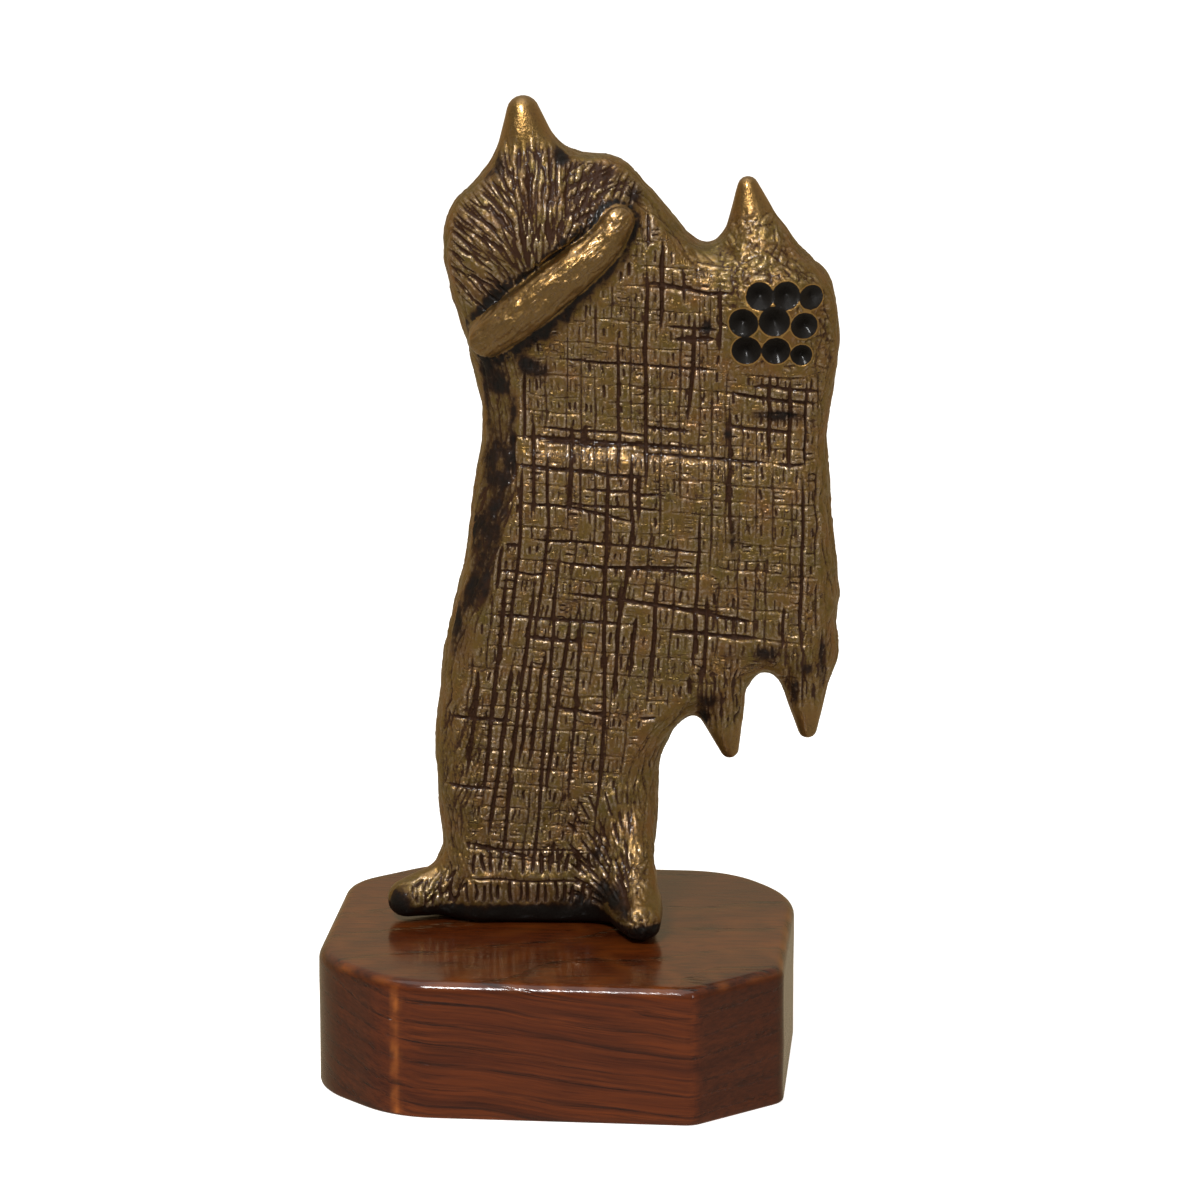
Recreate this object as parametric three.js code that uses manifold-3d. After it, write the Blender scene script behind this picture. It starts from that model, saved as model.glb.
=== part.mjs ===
// Abstract bronze statuette standing on a wooden block.
// Units are millimetres, +Z is up, the front of the statuette looks along -Y.
// The origin is the middle of the block's underside.

import * as THREE from "three";
import Module from "manifold-3d";

const wasm = await Module();
wasm.setup();

// The wooden block
const BLOCK_WIDTH = 100.2;
const BLOCK_DEPTH = 86;
const BLOCK_HEIGHT = 30;
const TOP_ARRIS_RADIUS = 2.4;
const BOTTOM_ARRIS_RADIUS = 0.8;
// Each corner is sawn off by cutX along the width and cutY along the depth,
// then sanded round to the given radius.
const CORNERS = [
  { sideX: 1, sideY: -1, cutX: 18, cutY: 16, round: 5 },
  { sideX: 1, sideY: 1, cutX: 15, cutY: 17, round: 26 },
  { sideX: -1, sideY: 1, cutX: 17.5, cutY: 15.5, round: 16 },
  { sideX: -1, sideY: -1, cutX: 18.5, cutY: 16.5, round: 20 },
];
const CORNER_ARC_STEPS = 6;
const LONGEST_REACH = 0.46;
const ARRIS_STEPS = 3;

// The place of the statuette on the block
const SOLE_GAP = 0.3;
const FIGURE_FORWARD = 1.6;
const FIGURE_TURN_DEG = 4;

// Front outline of the body, x across and z up from the sole, without the
// peaks, the hanging points and the toes, which are added as round cones.
const OUTLINE = [
  [-24, -12],
  [-24.4, 4],
  [-25.6, 15],
  [-27.1, 36],
  [-24.8, 60],
  [-20.4, 80],
  [-18.3, 96],
  [-16.6, 110],
  [-19.6, 125],
  [-24.4, 144.5],
  [-21.8, 156.4],
  [-12, 162.5],
  [2, 166.2],
  [12.5, 165.4],
  [21.6, 156.4],
  [29.5, 147.8],
  [37, 147],
  [47, 147.5],
  [56.4, 141],
  [59.5, 128.5],
  [57.2, 106],
  [58.8, 86],
  [60, 68],
  [57, 55],
  [51, 54],
  [44.6, 54.4],
  [35.6, 49.5],
  [28.2, 45],
  [22.4, 36],
  [20.4, 20],
  [20, 4],
  [20, -12],
];
const OUTLINE_STEPS = 192;

// Half the thickness of the slab by height, and how far its middle plane
// lies behind the front edge of the sole.
const THICKNESS = [
  { z: 0, half: 11.2, middle: 11.6 },
  { z: 8, half: 11.4, middle: 11.6 },
  { z: 22, half: 9.8, middle: 12.2 },
  { z: 55, half: 9.6, middle: 12.2 },
  { z: 92, half: 10.4, middle: 12 },
  { z: 112, half: 9, middle: 12.2 },
  { z: 138, half: 10.4, middle: 12 },
  { z: 166, half: 8.4, middle: 12.4 },
];
// How far the rounding of the edge reaches in from the outline: in general,
// at the softly pinched left side of the waist and along the hem. The core
// is the share of a region's reach that takes its full width.
const RIM_WIDTH = 8;
const WAIST_RIM = { width: 13, centre: [-18, 108], reach: [16, 34] };
const HEM_RIM = { width: 6.5, centre: [42, 46], reach: [22, 20] };
const RIM_CORE = 0.3;
const RIM_POWER = 2.2;

// Round cones that grow out of the slab: two peaks above, two points hanging
// below the hem, two toes and the ridge of an instep. Each runs from a tip to
// a root.
const CONES = [
  {
    name: "left peak",
    tip: [-7.6, 12, 175.2],
    tipRadius: 3.5,
    root: [-6, 12, 161],
    rootRadius: 8.4,
    blend: 7,
  },
  {
    name: "right peak",
    tip: [39.8, 12, 159.4],
    tipRadius: 2.3,
    root: [41.6, 12, 148],
    rootRadius: 6.6,
    blend: 7,
  },
  {
    name: "outer hanging point",
    tip: [53.6, 10.6, 41.4],
    tipRadius: 2.1,
    root: [52.4, 10.2, 58],
    rootRadius: 6.8,
    blend: 5,
  },
  {
    name: "inner hanging point",
    tip: [36.7, 10.6, 36.8],
    tipRadius: 2.1,
    root: [33.6, 10.2, 52],
    rootRadius: 6.8,
    blend: 5,
  },
  {
    name: "left toe",
    tip: [-33, 4.4, 4.1],
    tipRadius: 4.4,
    root: [-19, 10, 6.4],
    rootRadius: 7.6,
    blend: 6,
  },
  {
    name: "right toe",
    tip: [17.8, -11, 4],
    tipRadius: 4.2,
    root: [13, 7, 6.6],
    rootRadius: 7.4,
    blend: 5,
  },
  {
    name: "right instep",
    tip: [17.2, -6, 5.4],
    tipRadius: 3.4,
    root: [13.6, 9, 25],
    rootRadius: 6.4,
    blend: 5,
  },
];

// Soft swellings of the front: the head lobe above the roll and the shoulder
// that carries the pits.
const SWELLINGS = [
  { centre: [-4, 8, 150], size: [13, 9.2, 9], blend: 9 },
  { centre: [45, 9.6, 134.5], size: [8, 9, 8], blend: 9 },
];
const SOLE_ROUNDING = 2.4;

// The roll laid slantwise over the chest, from the low left end to the high
// right end: points on its centre line with the radius there.
const ROLL = [
  { at: [-14.9, 2, 128.6], radius: 4.2 },
  { at: [-9, 0.7, 133.4], radius: 4.7 },
  { at: [-0.5, 0.2, 140.3], radius: 4.7 },
  { at: [5.4, 0.2, 145.2], radius: 4.3 },
  { at: [9.6, 0.6, 149], radius: 3.8 },
  { at: [12.7, 1.4, 153.8], radius: 3.2 },
];
const ROLL_SIDES = 16;
const ROLL_STATIONS = 12;
const ROLL_CAP_RINGS = 3;
// A valley is pressed into the slab beside the roll.
const VALLEY_EXTRA_RADIUS = 1.3;
const VALLEY_FORWARD = 1.7;

// Nine conical pits drilled in three rows: x, z and the radius of the mouth.
const PITS = [
  [42.4, 137.3, 2.8],
  [48.1, 137.6, 2.75],
  [53.2, 137, 2.4],
  [39.3, 132, 3.1],
  [45.9, 132.5, 3.2],
  [52, 131.2, 2.8],
  [40, 126.2, 3.2],
  [46.3, 126.1, 2.95],
  [51.3, 124.9, 2.3],
];
const PIT_SLOPE = 0.95;
const PIT_SIDES = 14;
const PIT_START = -6;

// Mesh spacing: fine where the form is small, coarser on the plain body.
const CELL_COARSE = 4.4;
const CELL_DEEP = 3.5;
const CELL_FINE = 2.2;
const FINE_ACROSS = [
  [-14, 1],
  [33, 58],
];
const FINE_DEEP = [[9, 15]];
const FINE_UPWARD = [
  [-5, 14],
  [34, 56],
  [146, 182],
];
const FIELD_LOW = [-45.2, -19.4, -4.9];
const FIELD_HIGH = [65, 27, 183];
const PROJECT_STEPS = 4;
const CELL_SLACK = 0.05;
const FLATTEST_SLOPE = 0.05;
const PROBE = 0.02;

function smoothMin(a, b, k) {
  const h = Math.max(k - Math.abs(a - b), 0) / k;
  return Math.min(a, b) - h * h * k * 0.25;
}

function smoothMax(a, b, k) {
  return -smoothMin(-a, -b, k);
}

const outlineCurve = new THREE.CatmullRomCurve3(
  OUTLINE.map(([x, z]) => new THREE.Vector3(x, 0, z)),
  true,
  "centripetal",
);
const outline = outlineCurve.getPoints(OUTLINE_STEPS).slice(0, OUTLINE_STEPS);

// Signed distance to the outline in the front view, negative inside.
function outlineDistance(x, z) {
  let nearest = Infinity;
  let inside = false;
  for (let i = 0, j = outline.length - 1; i < outline.length; j = i, i += 1) {
    const a = outline[j];
    const b = outline[i];
    const ex = b.x - a.x;
    const ez = b.z - a.z;
    const px = x - a.x;
    const pz = z - a.z;
    const t = THREE.MathUtils.clamp((px * ex + pz * ez) / (ex * ex + ez * ez), 0, 1);
    const dx = px - t * ex;
    const dz = pz - t * ez;
    nearest = Math.min(nearest, dx * dx + dz * dz);
    if (a.z > z !== b.z > z && x < a.x + (ex * (z - a.z)) / ez) {
      inside = !inside;
    }
  }
  const distance = Math.sqrt(nearest);
  return inside ? -distance : distance;
}

// Thickness and middle plane between the named heights, eased.
function slabAt(z) {
  const last = THICKNESS.length - 1;
  if (z <= THICKNESS[0].z) {
    return THICKNESS[0];
  }
  if (z >= THICKNESS[last].z) {
    return THICKNESS[last];
  }
  let i = 0;
  while (z > THICKNESS[i + 1].z) {
    i += 1;
  }
  const low = THICKNESS[i];
  const high = THICKNESS[i + 1];
  const t = THREE.MathUtils.smoothstep(z, low.z, high.z);
  return {
    half: low.half + (high.half - low.half) * t,
    middle: low.middle + (high.middle - low.middle) * t,
  };
}

// The rounding width at a place, eased into the two special regions.
function rimWidthAt(x, z) {
  let width = RIM_WIDTH;
  for (const { width: special, centre, reach } of [WAIST_RIM, HEM_RIM]) {
    const away = Math.hypot((x - centre[0]) / reach[0], (z - centre[1]) / reach[1]);
    width += (special - RIM_WIDTH) * (1 - THREE.MathUtils.smoothstep(away, RIM_CORE, 1));
  }
  return width;
}

function slabField(x, y, z) {
  const { half, middle } = slabAt(z);
  const rim = rimWidthAt(x, z);
  const across = Math.max(outlineDistance(x, z) + rim, 0) / rim;
  const deep = Math.abs(y - middle) / half;
  const reach = Math.pow(Math.pow(across, RIM_POWER) + Math.pow(deep, RIM_POWER), 1 / RIM_POWER);
  return (reach - 1) * half;
}

// Distance to a cone with a ball at each end.
function coneField(x, y, z, cone) {
  const axis = new THREE.Vector3(...cone.root).sub(new THREE.Vector3(...cone.tip));
  const length = axis.length();
  axis.divideScalar(length);
  const px = x - cone.tip[0];
  const py = y - cone.tip[1];
  const pz = z - cone.tip[2];
  const along = px * axis.x + py * axis.y + pz * axis.z;
  const off = Math.sqrt(Math.max(px * px + py * py + pz * pz - along * along, 0));
  const slope = (cone.rootRadius - cone.tipRadius) / length;
  const shift = (off * slope) / Math.sqrt(1 - slope * slope);
  const t = THREE.MathUtils.clamp(along + shift, 0, length);
  const radius = cone.tipRadius + slope * t;
  return Math.hypot(off, along - t) - radius;
}

function swellingField(x, y, z, swelling) {
  const { centre, size } = swelling;
  const reach = Math.hypot(
    (x - centre[0]) / size[0],
    (y - centre[1]) / size[1],
    (z - centre[2]) / size[2],
  );
  return (reach - 1) * Math.min(...size);
}

function bodyField(x, y, z) {
  let field = slabField(x, y, z);
  for (const swelling of SWELLINGS) {
    field = smoothMin(field, swellingField(x, y, z, swelling), swelling.blend);
  }
  for (const cone of CONES) {
    field = smoothMin(field, coneField(x, y, z, cone), cone.blend);
  }
  return smoothMax(field, -z, SOLE_ROUNDING);
}

// Grid stops along one axis, close together inside the fine bands.
function gridStops(low, high, plainStep, fineStep, fineBands) {
  const stops = [low];
  while (stops[stops.length - 1] < high) {
    const at = stops[stops.length - 1];
    const fine = fineBands.some(([from, to]) => at >= from && at < to);
    stops.push(at + (fine ? fineStep : plainStep));
  }
  return stops;
}

function slopeOf(field, p) {
  return [0, 1, 2].map((axis) => {
    const ahead = [...p];
    const behind = [...p];
    ahead[axis] += PROBE;
    behind[axis] -= PROBE;
    return (field(...ahead) - field(...behind)) / (2 * PROBE);
  });
}

function pullToSurface(field, p) {
  for (let step = 0; step < PROJECT_STEPS; step += 1) {
    const slope = slopeOf(field, p);
    const length2 = slope[0] ** 2 + slope[1] ** 2 + slope[2] ** 2;
    const move = field(...p) / Math.max(length2, FLATTEST_SLOPE);
    for (let axis = 0; axis < 3; axis += 1) {
      p[axis] -= slope[axis] * move;
    }
  }
}

// Skins a field with four-sided facets: one corner in every cell of the grid
// that the surface passes, one facet over every grid edge that it crosses.
function skinField(field, stops) {
  const [xs, ys, zs] = stops;
  const [nx, ny, nz] = stops.map((axis) => axis.length);
  const node = (i, j, k) => (k * ny + j) * nx + i;
  const value = new Float64Array(nx * ny * nz);
  for (let k = 0; k < nz; k += 1) {
    for (let j = 0; j < ny; j += 1) {
      for (let i = 0; i < nx; i += 1) {
        value[node(i, j, k)] = field(xs[i], ys[j], zs[k]);
      }
    }
  }
  const places = [];
  const cellCorner = new Map();
  for (let k = 0; k < nz - 1; k += 1) {
    for (let j = 0; j < ny - 1; j += 1) {
      for (let i = 0; i < nx - 1; i += 1) {
        const sum = [0, 0, 0];
        let crossings = 0;
        for (let corner = 0; corner < 8; corner += 1) {
          for (let axis = 0; axis < 3; axis += 1) {
            if (corner & (1 << axis)) {
              continue;
            }
            const from = [i + (corner & 1), j + ((corner >> 1) & 1), k + ((corner >> 2) & 1)];
            const to = [...from];
            to[axis] += 1;
            const a = value[node(...from)];
            const b = value[node(...to)];
            if (a < 0 === b < 0) {
              continue;
            }
            const t = a / (a - b);
            for (let d = 0; d < 3; d += 1) {
              sum[d] += stops[d][from[d]] * (1 - t) + stops[d][to[d]] * t;
            }
            crossings += 1;
          }
        }
        if (crossings > 0) {
          const cell = [i, j, k];
          const place = sum.map((s) => s / crossings);
          pullToSurface(field, place);
          place.forEach((at, d) => {
            const [from, to] = [stops[d][cell[d]], stops[d][cell[d] + 1]];
            const slack = CELL_SLACK * (to - from);
            place[d] = THREE.MathUtils.clamp(at, from - slack, to + slack);
          });
          cellCorner.set(node(i, j, k), places.length);
          places.push(place);
        }
      }
    }
  }
  const gapBetween = (a, b) => {
    const [p, q] = [places[a], places[b]];
    return Math.hypot(p[0] - q[0], p[1] - q[1], p[2] - q[2]);
  };
  const faces = [];
  for (let k = 1; k < nz - 1; k += 1) {
    for (let j = 1; j < ny - 1; j += 1) {
      for (let i = 1; i < nx - 1; i += 1) {
        for (let axis = 0; axis < 3; axis += 1) {
          const to = [i, j, k];
          to[axis] += 1;
          const a = value[node(i, j, k)];
          const b = value[node(...to)];
          if (a < 0 === b < 0) {
            continue;
          }
          const u = (axis + 1) % 3;
          const v = (axis + 2) % 3;
          const ring = [[0, 0], [1, 0], [1, 1], [0, 1]].map(([du, dv]) => {
            const cell = [i, j, k];
            cell[u] -= du;
            cell[v] -= dv;
            return cellCorner.get(node(...cell));
          });
          if (a >= 0) {
            ring.reverse();
          }
          const [p, q, r, s] = ring;
          if (gapBetween(p, r) < gapBetween(q, s)) {
            faces.push([p, q, r], [p, r, s]);
          } else {
            faces.push([p, q, s], [q, r, s]);
          }
        }
      }
    }
  }
  return { places, faces };
}

// Moves the corner nearest to a cone's outermost place onto that place.
function pointTheTip(places, { tip, tipRadius, root }) {
  const tipAt = new THREE.Vector3(...tip);
  const outward = tipAt.clone().sub(new THREE.Vector3(...root)).normalize();
  const end = tipAt.addScaledVector(outward, tipRadius);
  const distances = places.map((place) => end.distanceTo(new THREE.Vector3(...place)));
  const nearest = distances.indexOf(Math.min(...distances));
  places[nearest] = end.toArray();
}

function solidOf({ places, faces }) {
  return new wasm.Manifold(
    new wasm.Mesh({
      numProp: 3,
      vertProperties: new Float32Array(places.flat()),
      triVerts: new Uint32Array(faces.flat()),
    }),
  );
}

// Closes a row of rings, each with the same number of places, and puts a
// fan over the first and the last ring.
function ringsToMesh(rings, firstPole, lastPole) {
  const sides = rings[0].length;
  const places = rings.flat();
  const faces = [];
  for (let r = 0; r < rings.length - 1; r += 1) {
    for (let s = 0; s < sides; s += 1) {
      const a = r * sides + s;
      const b = r * sides + ((s + 1) % sides);
      faces.push([a, b, b + sides], [a, b + sides, a + sides]);
    }
  }
  const first = places.push(firstPole) - 1;
  const last = places.push(lastPole) - 1;
  const start = (rings.length - 1) * sides;
  for (let s = 0; s < sides; s += 1) {
    const next = (s + 1) % sides;
    faces.push([first, next, s], [last, start + s, start + next]);
  }
  return { places, faces };
}

// The roll as a round bar with rounded ends along its centre line; grown and
// moved forward it is the tool that presses the valley beside the roll.
function rollMesh(extraRadius, forward) {
  const line = new THREE.CatmullRomCurve3(
    ROLL.map(({ at }) => new THREE.Vector3(at[0], at[1] - forward, at[2])),
  );
  const radiusAt = (t) => {
    const place = t * (ROLL.length - 1);
    const i = Math.min(Math.floor(place), ROLL.length - 2);
    return THREE.MathUtils.lerp(ROLL[i].radius, ROLL[i + 1].radius, place - i) + extraRadius;
  };
  const rings = [];
  const addRing = (centre, ahead, radius) => {
    const across = new THREE.Vector3(0, 1, 0).cross(ahead).normalize();
    const deep = ahead.clone().cross(across);
    const ring = [];
    for (let s = 0; s < ROLL_SIDES; s += 1) {
      const angle = (s / ROLL_SIDES) * 2 * Math.PI;
      const place = centre
        .clone()
        .addScaledVector(across, Math.cos(angle) * radius)
        .addScaledVector(deep, Math.sin(angle) * radius);
      ring.push(place.toArray());
    }
    rings.push(ring);
  };
  const startAhead = line.getTangent(0);
  const endAhead = line.getTangent(1);
  const startAt = line.getPoint(0);
  const endAt = line.getPoint(1);
  for (let c = 1; c <= ROLL_CAP_RINGS; c += 1) {
    const lift = ((1 - c / (ROLL_CAP_RINGS + 1)) * Math.PI) / 2;
    const back = startAt.clone().addScaledVector(startAhead, -Math.sin(lift) * radiusAt(0));
    addRing(back, startAhead, Math.cos(lift) * radiusAt(0));
  }
  for (let n = 0; n <= ROLL_STATIONS; n += 1) {
    const t = n / ROLL_STATIONS;
    addRing(line.getPoint(t), line.getTangent(t), radiusAt(t));
  }
  for (let c = ROLL_CAP_RINGS; c >= 1; c -= 1) {
    const lift = ((1 - c / (ROLL_CAP_RINGS + 1)) * Math.PI) / 2;
    const on = endAt.clone().addScaledVector(endAhead, Math.sin(lift) * radiusAt(1));
    addRing(on, endAhead, Math.cos(lift) * radiusAt(1));
  }
  const firstPole = startAt.clone().addScaledVector(startAhead, -radiusAt(0)).toArray();
  const lastPole = endAt.clone().addScaledVector(endAhead, radiusAt(1)).toArray();
  return ringsToMesh(rings, firstPole, lastPole);
}

// Depth of the front skin at a place in the front view.
function frontSkin(field, x, z) {
  let low = FIELD_LOW[1];
  let high = THICKNESS[0].middle;
  while (high - low > PROBE) {
    const middle = (low + high) / 2;
    if (field(x, middle, z) < 0) {
      high = middle;
    } else {
      low = middle;
    }
  }
  return high;
}

// A cutting cone whose mouth has the given radius on the skin.
function pitMesh([x, z, radius], turn) {
  const skin = frontSkin(bodyField, x, z);
  const tipY = skin + radius * PIT_SLOPE;
  const mouthRadius = (tipY - PIT_START) / PIT_SLOPE;
  const ring = [];
  for (let s = 0; s < PIT_SIDES; s += 1) {
    const angle = ((s + turn) / PIT_SIDES) * 2 * Math.PI;
    ring.push([x + Math.cos(angle) * mouthRadius, PIT_START, z + Math.sin(angle) * mouthRadius]);
  }
  return ringsToMesh([ring], [x, tipY, z], [x, PIT_START, z]);
}

function figureSolid() {
  const stops = [
    gridStops(FIELD_LOW[0], FIELD_HIGH[0], CELL_COARSE, CELL_FINE, FINE_ACROSS),
    gridStops(FIELD_LOW[1], FIELD_HIGH[1], CELL_DEEP, CELL_FINE, FINE_DEEP),
    gridStops(FIELD_LOW[2], FIELD_HIGH[2], CELL_COARSE, CELL_FINE, FINE_UPWARD),
  ];
  const skin = skinField(bodyField, stops);
  CONES.forEach((cone) => pointTheTip(skin.places, cone));
  let solid = solidOf(skin);
  solid = solid.subtract(solidOf(rollMesh(VALLEY_EXTRA_RADIUS, VALLEY_FORWARD)));
  solid = solid.add(solidOf(rollMesh(0, 0)));
  PITS.forEach((pit, n) => {
    solid = solid.subtract(solidOf(pitMesh(pit, n / PITS.length)));
  });
  return solid;
}

function geometryOf(solid) {
  const mesh = solid.getMesh();
  const geometry = new THREE.BufferGeometry();
  const places = [];
  for (let v = 0; v < mesh.numVert; v += 1) {
    places.push(...mesh.vertProperties.slice(v * mesh.numProp, v * mesh.numProp + 3));
  }
  geometry.setAttribute("position", new THREE.Float32BufferAttribute(places, 3));
  geometry.setIndex([...mesh.triVerts]);
  geometry.computeVertexNormals();
  return geometry;
}

// Plan of the block: a rectangle whose sawn corners are rounded, drawn in by
// a margin for the rings of the arris.
function blockPlan(margin) {
  const plan = [];
  const halfX = BLOCK_WIDTH / 2 - margin;
  const halfY = BLOCK_DEPTH / 2 - margin;
  const lessCut = (2 - Math.SQRT2) * margin;
  for (const { sideX, sideY, cutX, cutY, round } of CORNERS) {
    const onSide = new THREE.Vector2(sideX * halfX, sideY * (halfY - cutY + lessCut));
    const onFront = new THREE.Vector2(sideX * (halfX - cutX + lessCut), sideY * halfY);
    const goingRound = sideX * sideY > 0 ? [onSide, onFront] : [onFront, onSide];
    const along = goingRound[1].clone().sub(goingRound[0]).normalize();
    const before = goingRound[0] === onSide ? [0, sideY] : [sideX, 0];
    const after = goingRound[0] === onSide ? [-sideX, 0] : [0, -sideY];
    const turn = along.angleTo(new THREE.Vector2(...before));
    const longest = LONGEST_REACH * goingRound[0].distanceTo(goingRound[1]);
    const reach = Math.min(round * Math.tan(turn / 2), longest);
    plan.push(...bentCorner(goingRound[0], new THREE.Vector2(...before), along, reach));
    plan.push(...bentCorner(goingRound[1], along, new THREE.Vector2(...after), reach));
  }
  return plan;
}

// A corner between two directions, eased over a reach on both sides.
function bentCorner(corner, directionIn, directionOut, reach) {
  const from = corner.clone().addScaledVector(directionIn, -reach);
  const to = corner.clone().addScaledVector(directionOut, reach);
  const bend = new THREE.QuadraticBezierCurve(from, corner, to);
  return bend.getPoints(CORNER_ARC_STEPS);
}

function blockGeometry() {
  const rings = [];
  const addRing = (margin, z) => {
    rings.push(blockPlan(margin).map((p) => [p.x, p.y, z]));
  };
  addRing(BOTTOM_ARRIS_RADIUS, 0);
  addRing(0, BOTTOM_ARRIS_RADIUS);
  for (let n = 0; n <= ARRIS_STEPS; n += 1) {
    const angle = ((n / ARRIS_STEPS) * Math.PI) / 2;
    const margin = TOP_ARRIS_RADIUS * (1 - Math.cos(angle));
    const drop = TOP_ARRIS_RADIUS * (1 - Math.sin(angle));
    addRing(margin, BLOCK_HEIGHT - drop);
  }
  const { places, faces } = ringsToMesh(rings, [0, 0, 0], [0, 0, BLOCK_HEIGHT]);
  const geometry = new THREE.BufferGeometry();
  geometry.setAttribute("position", new THREE.Float32BufferAttribute(places.flat(), 3));
  geometry.setIndex(faces.flat());
  geometry.computeVertexNormals();
  return geometry;
}

const bronze = new THREE.MeshStandardMaterial({
  color: 0x8a6b3c,
  roughness: 0.38,
  metalness: 1,
});
const stainedWood = new THREE.MeshStandardMaterial({
  color: 0x8c3a14,
  roughness: 0.3,
  metalness: 0,
});

const figure = new THREE.Mesh(geometryOf(figureSolid()), bronze);
figure.name = "bronze_figure";
figure.position.set(0, -FIGURE_FORWARD, BLOCK_HEIGHT + SOLE_GAP);
figure.rotation.z = THREE.MathUtils.degToRad(FIGURE_TURN_DEG);

const block = new THREE.Mesh(blockGeometry(), stainedWood);
block.name = "wooden_base";

const statuette = new THREE.Group();
statuette.name = "bronze_statuette_on_wooden_block";
statuette.add(block, figure);

export default statuette;
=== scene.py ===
import math

import bmesh
import bpy
import numpy as np
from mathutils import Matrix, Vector


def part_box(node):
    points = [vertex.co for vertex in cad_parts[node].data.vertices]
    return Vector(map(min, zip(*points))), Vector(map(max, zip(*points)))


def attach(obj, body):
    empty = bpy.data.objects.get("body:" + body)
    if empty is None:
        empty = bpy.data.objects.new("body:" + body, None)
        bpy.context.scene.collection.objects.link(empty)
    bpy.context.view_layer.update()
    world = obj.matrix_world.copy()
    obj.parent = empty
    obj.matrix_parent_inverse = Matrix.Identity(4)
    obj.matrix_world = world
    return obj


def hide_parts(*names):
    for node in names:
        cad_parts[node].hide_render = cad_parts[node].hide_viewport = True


bl_info = {
    "name": "Bronze Statuette on a Wooden Block",
    "version": (1, 0, 0),
    "blender": (4, 5, 0),
    "location": "3D View > Sidebar > Statuette",
    "description": "Dresses the statuette's frame with scored bronze, a varnished block and a stage",
    "category": "Object",
}

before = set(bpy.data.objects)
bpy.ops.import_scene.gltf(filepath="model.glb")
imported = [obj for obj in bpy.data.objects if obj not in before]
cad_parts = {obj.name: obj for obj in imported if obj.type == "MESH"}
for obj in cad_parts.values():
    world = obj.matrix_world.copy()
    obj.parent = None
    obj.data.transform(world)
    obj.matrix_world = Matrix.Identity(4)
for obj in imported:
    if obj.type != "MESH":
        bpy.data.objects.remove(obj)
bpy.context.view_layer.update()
BLOCK_LOW, BLOCK_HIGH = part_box("wooden_base")
MM = 0.001
TINY = 1e-9
FAR = 1e9

# Named sizes of the statuette, in millimetres, x across, y back, z up from the
# sole. The form is that of the frame's solids, with a softer foot to the roll.
SOLE_GAP = 0.3
FIGURE_FORWARD = 1.6
FIGURE_TURN = math.radians(4)
OUTLINE = [
    (-24, -12), (-24.4, 4), (-25.6, 15), (-27.1, 36), (-24.8, 60), (-20.4, 80),
    (-18.3, 96), (-16.6, 110), (-19.6, 125), (-24.4, 144.5), (-21.8, 156.4),
    (-12, 162.5), (2, 166.2), (12.5, 165.4), (21.6, 156.4), (29.5, 147.8),
    (37, 147), (47, 147.5), (56.4, 141), (59.5, 128.5), (57.2, 106), (58.8, 86),
    (60, 68), (57, 55), (51, 54), (44.6, 54.4), (35.6, 49.5), (28.2, 45),
    (22.4, 36), (20.4, 20), (20, 4), (20, -12),
]
OUTLINE_STEPS = 384
# height, half the thickness, depth of the middle plane
THICKNESS = [
    (0, 11.2, 11.6), (8, 11.4, 11.6), (22, 9.8, 12.2), (55, 9.6, 12.2),
    (92, 10.4, 12), (112, 9, 12.2), (138, 10.4, 12), (166, 8.4, 12.4),
]
RIM_WIDTH = 8
# width, centre and reach of the places where the edge is rounded otherwise
RIM_REGIONS = [(13, (-18, 108), (16, 34)), (6.5, (42, 46), (22, 20))]
RIM_CORE = 0.3
RIM_POWER = 2.2
# tip, tip radius, root, root radius, blend
CONES = {
    "left peak": ((-7.6, 12, 175.2), 3.5, (-6, 12, 161), 8.4, 7),
    "right peak": ((39.8, 12, 159.4), 2.3, (41.6, 12, 148), 6.6, 7),
    "outer hanging point": ((53.6, 10.6, 41.4), 2.1, (52.4, 10.2, 58), 6.8, 5),
    "inner hanging point": ((36.7, 10.6, 36.8), 2.1, (33.6, 10.2, 52), 6.8, 5),
    "left toe": ((-33, 4.4, 4.1), 4.4, (-19, 10, 6.4), 7.6, 6),
    "right toe": ((17.8, -11, 4), 4.2, (13, 7, 6.6), 7.4, 5),
    "right instep": ((17.2, -6, 5.4), 3.4, (13.6, 9, 25), 6.4, 5),
}
# centre, size, blend
SWELLINGS = [
    ((-4, 8, 150), (13, 9.2, 9), 9),
    ((45, 9.6, 134.5), (8, 9, 8), 9),
]
SOLE_ROUNDING = 2.4
# points of the roll's centre line and the radius there
ROLL = [
    (-14.9, 2, 128.6, 4.2), (-9, 0.7, 133.4, 4.7), (-0.5, 0.2, 140.3, 4.7),
    (5.4, 0.2, 145.2, 4.3), (9.6, 0.6, 149, 3.8), (12.7, 1.4, 153.8, 3.2),
]
ROLL_STEPS = 40
VALLEY_EXTRA_RADIUS = 1.3
VALLEY_FORWARD = 1.7
VALLEY_EDGE = 0.9
ROLL_JOIN = 2
# a box round the roll and its valley: low and high x, y and z
ROLL_BOX = ((-26, 24), (-math.inf, 10), (116, 166))
# x, z and mouth radius of the nine drilled pits
PITS = [
    (42.3, 138.2, 3.1), (47.8, 138.3, 3.1), (53.1, 137.7, 2.65),
    (38.9, 132.4, 3.25), (45.4, 132.9, 3.45), (51.7, 131.8, 3),
    (39.6, 126.3, 3.3), (45.8, 126.3, 3.2), (51.2, 125.3, 2.45),
]
PIT_SLOPE = 0.95

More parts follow.
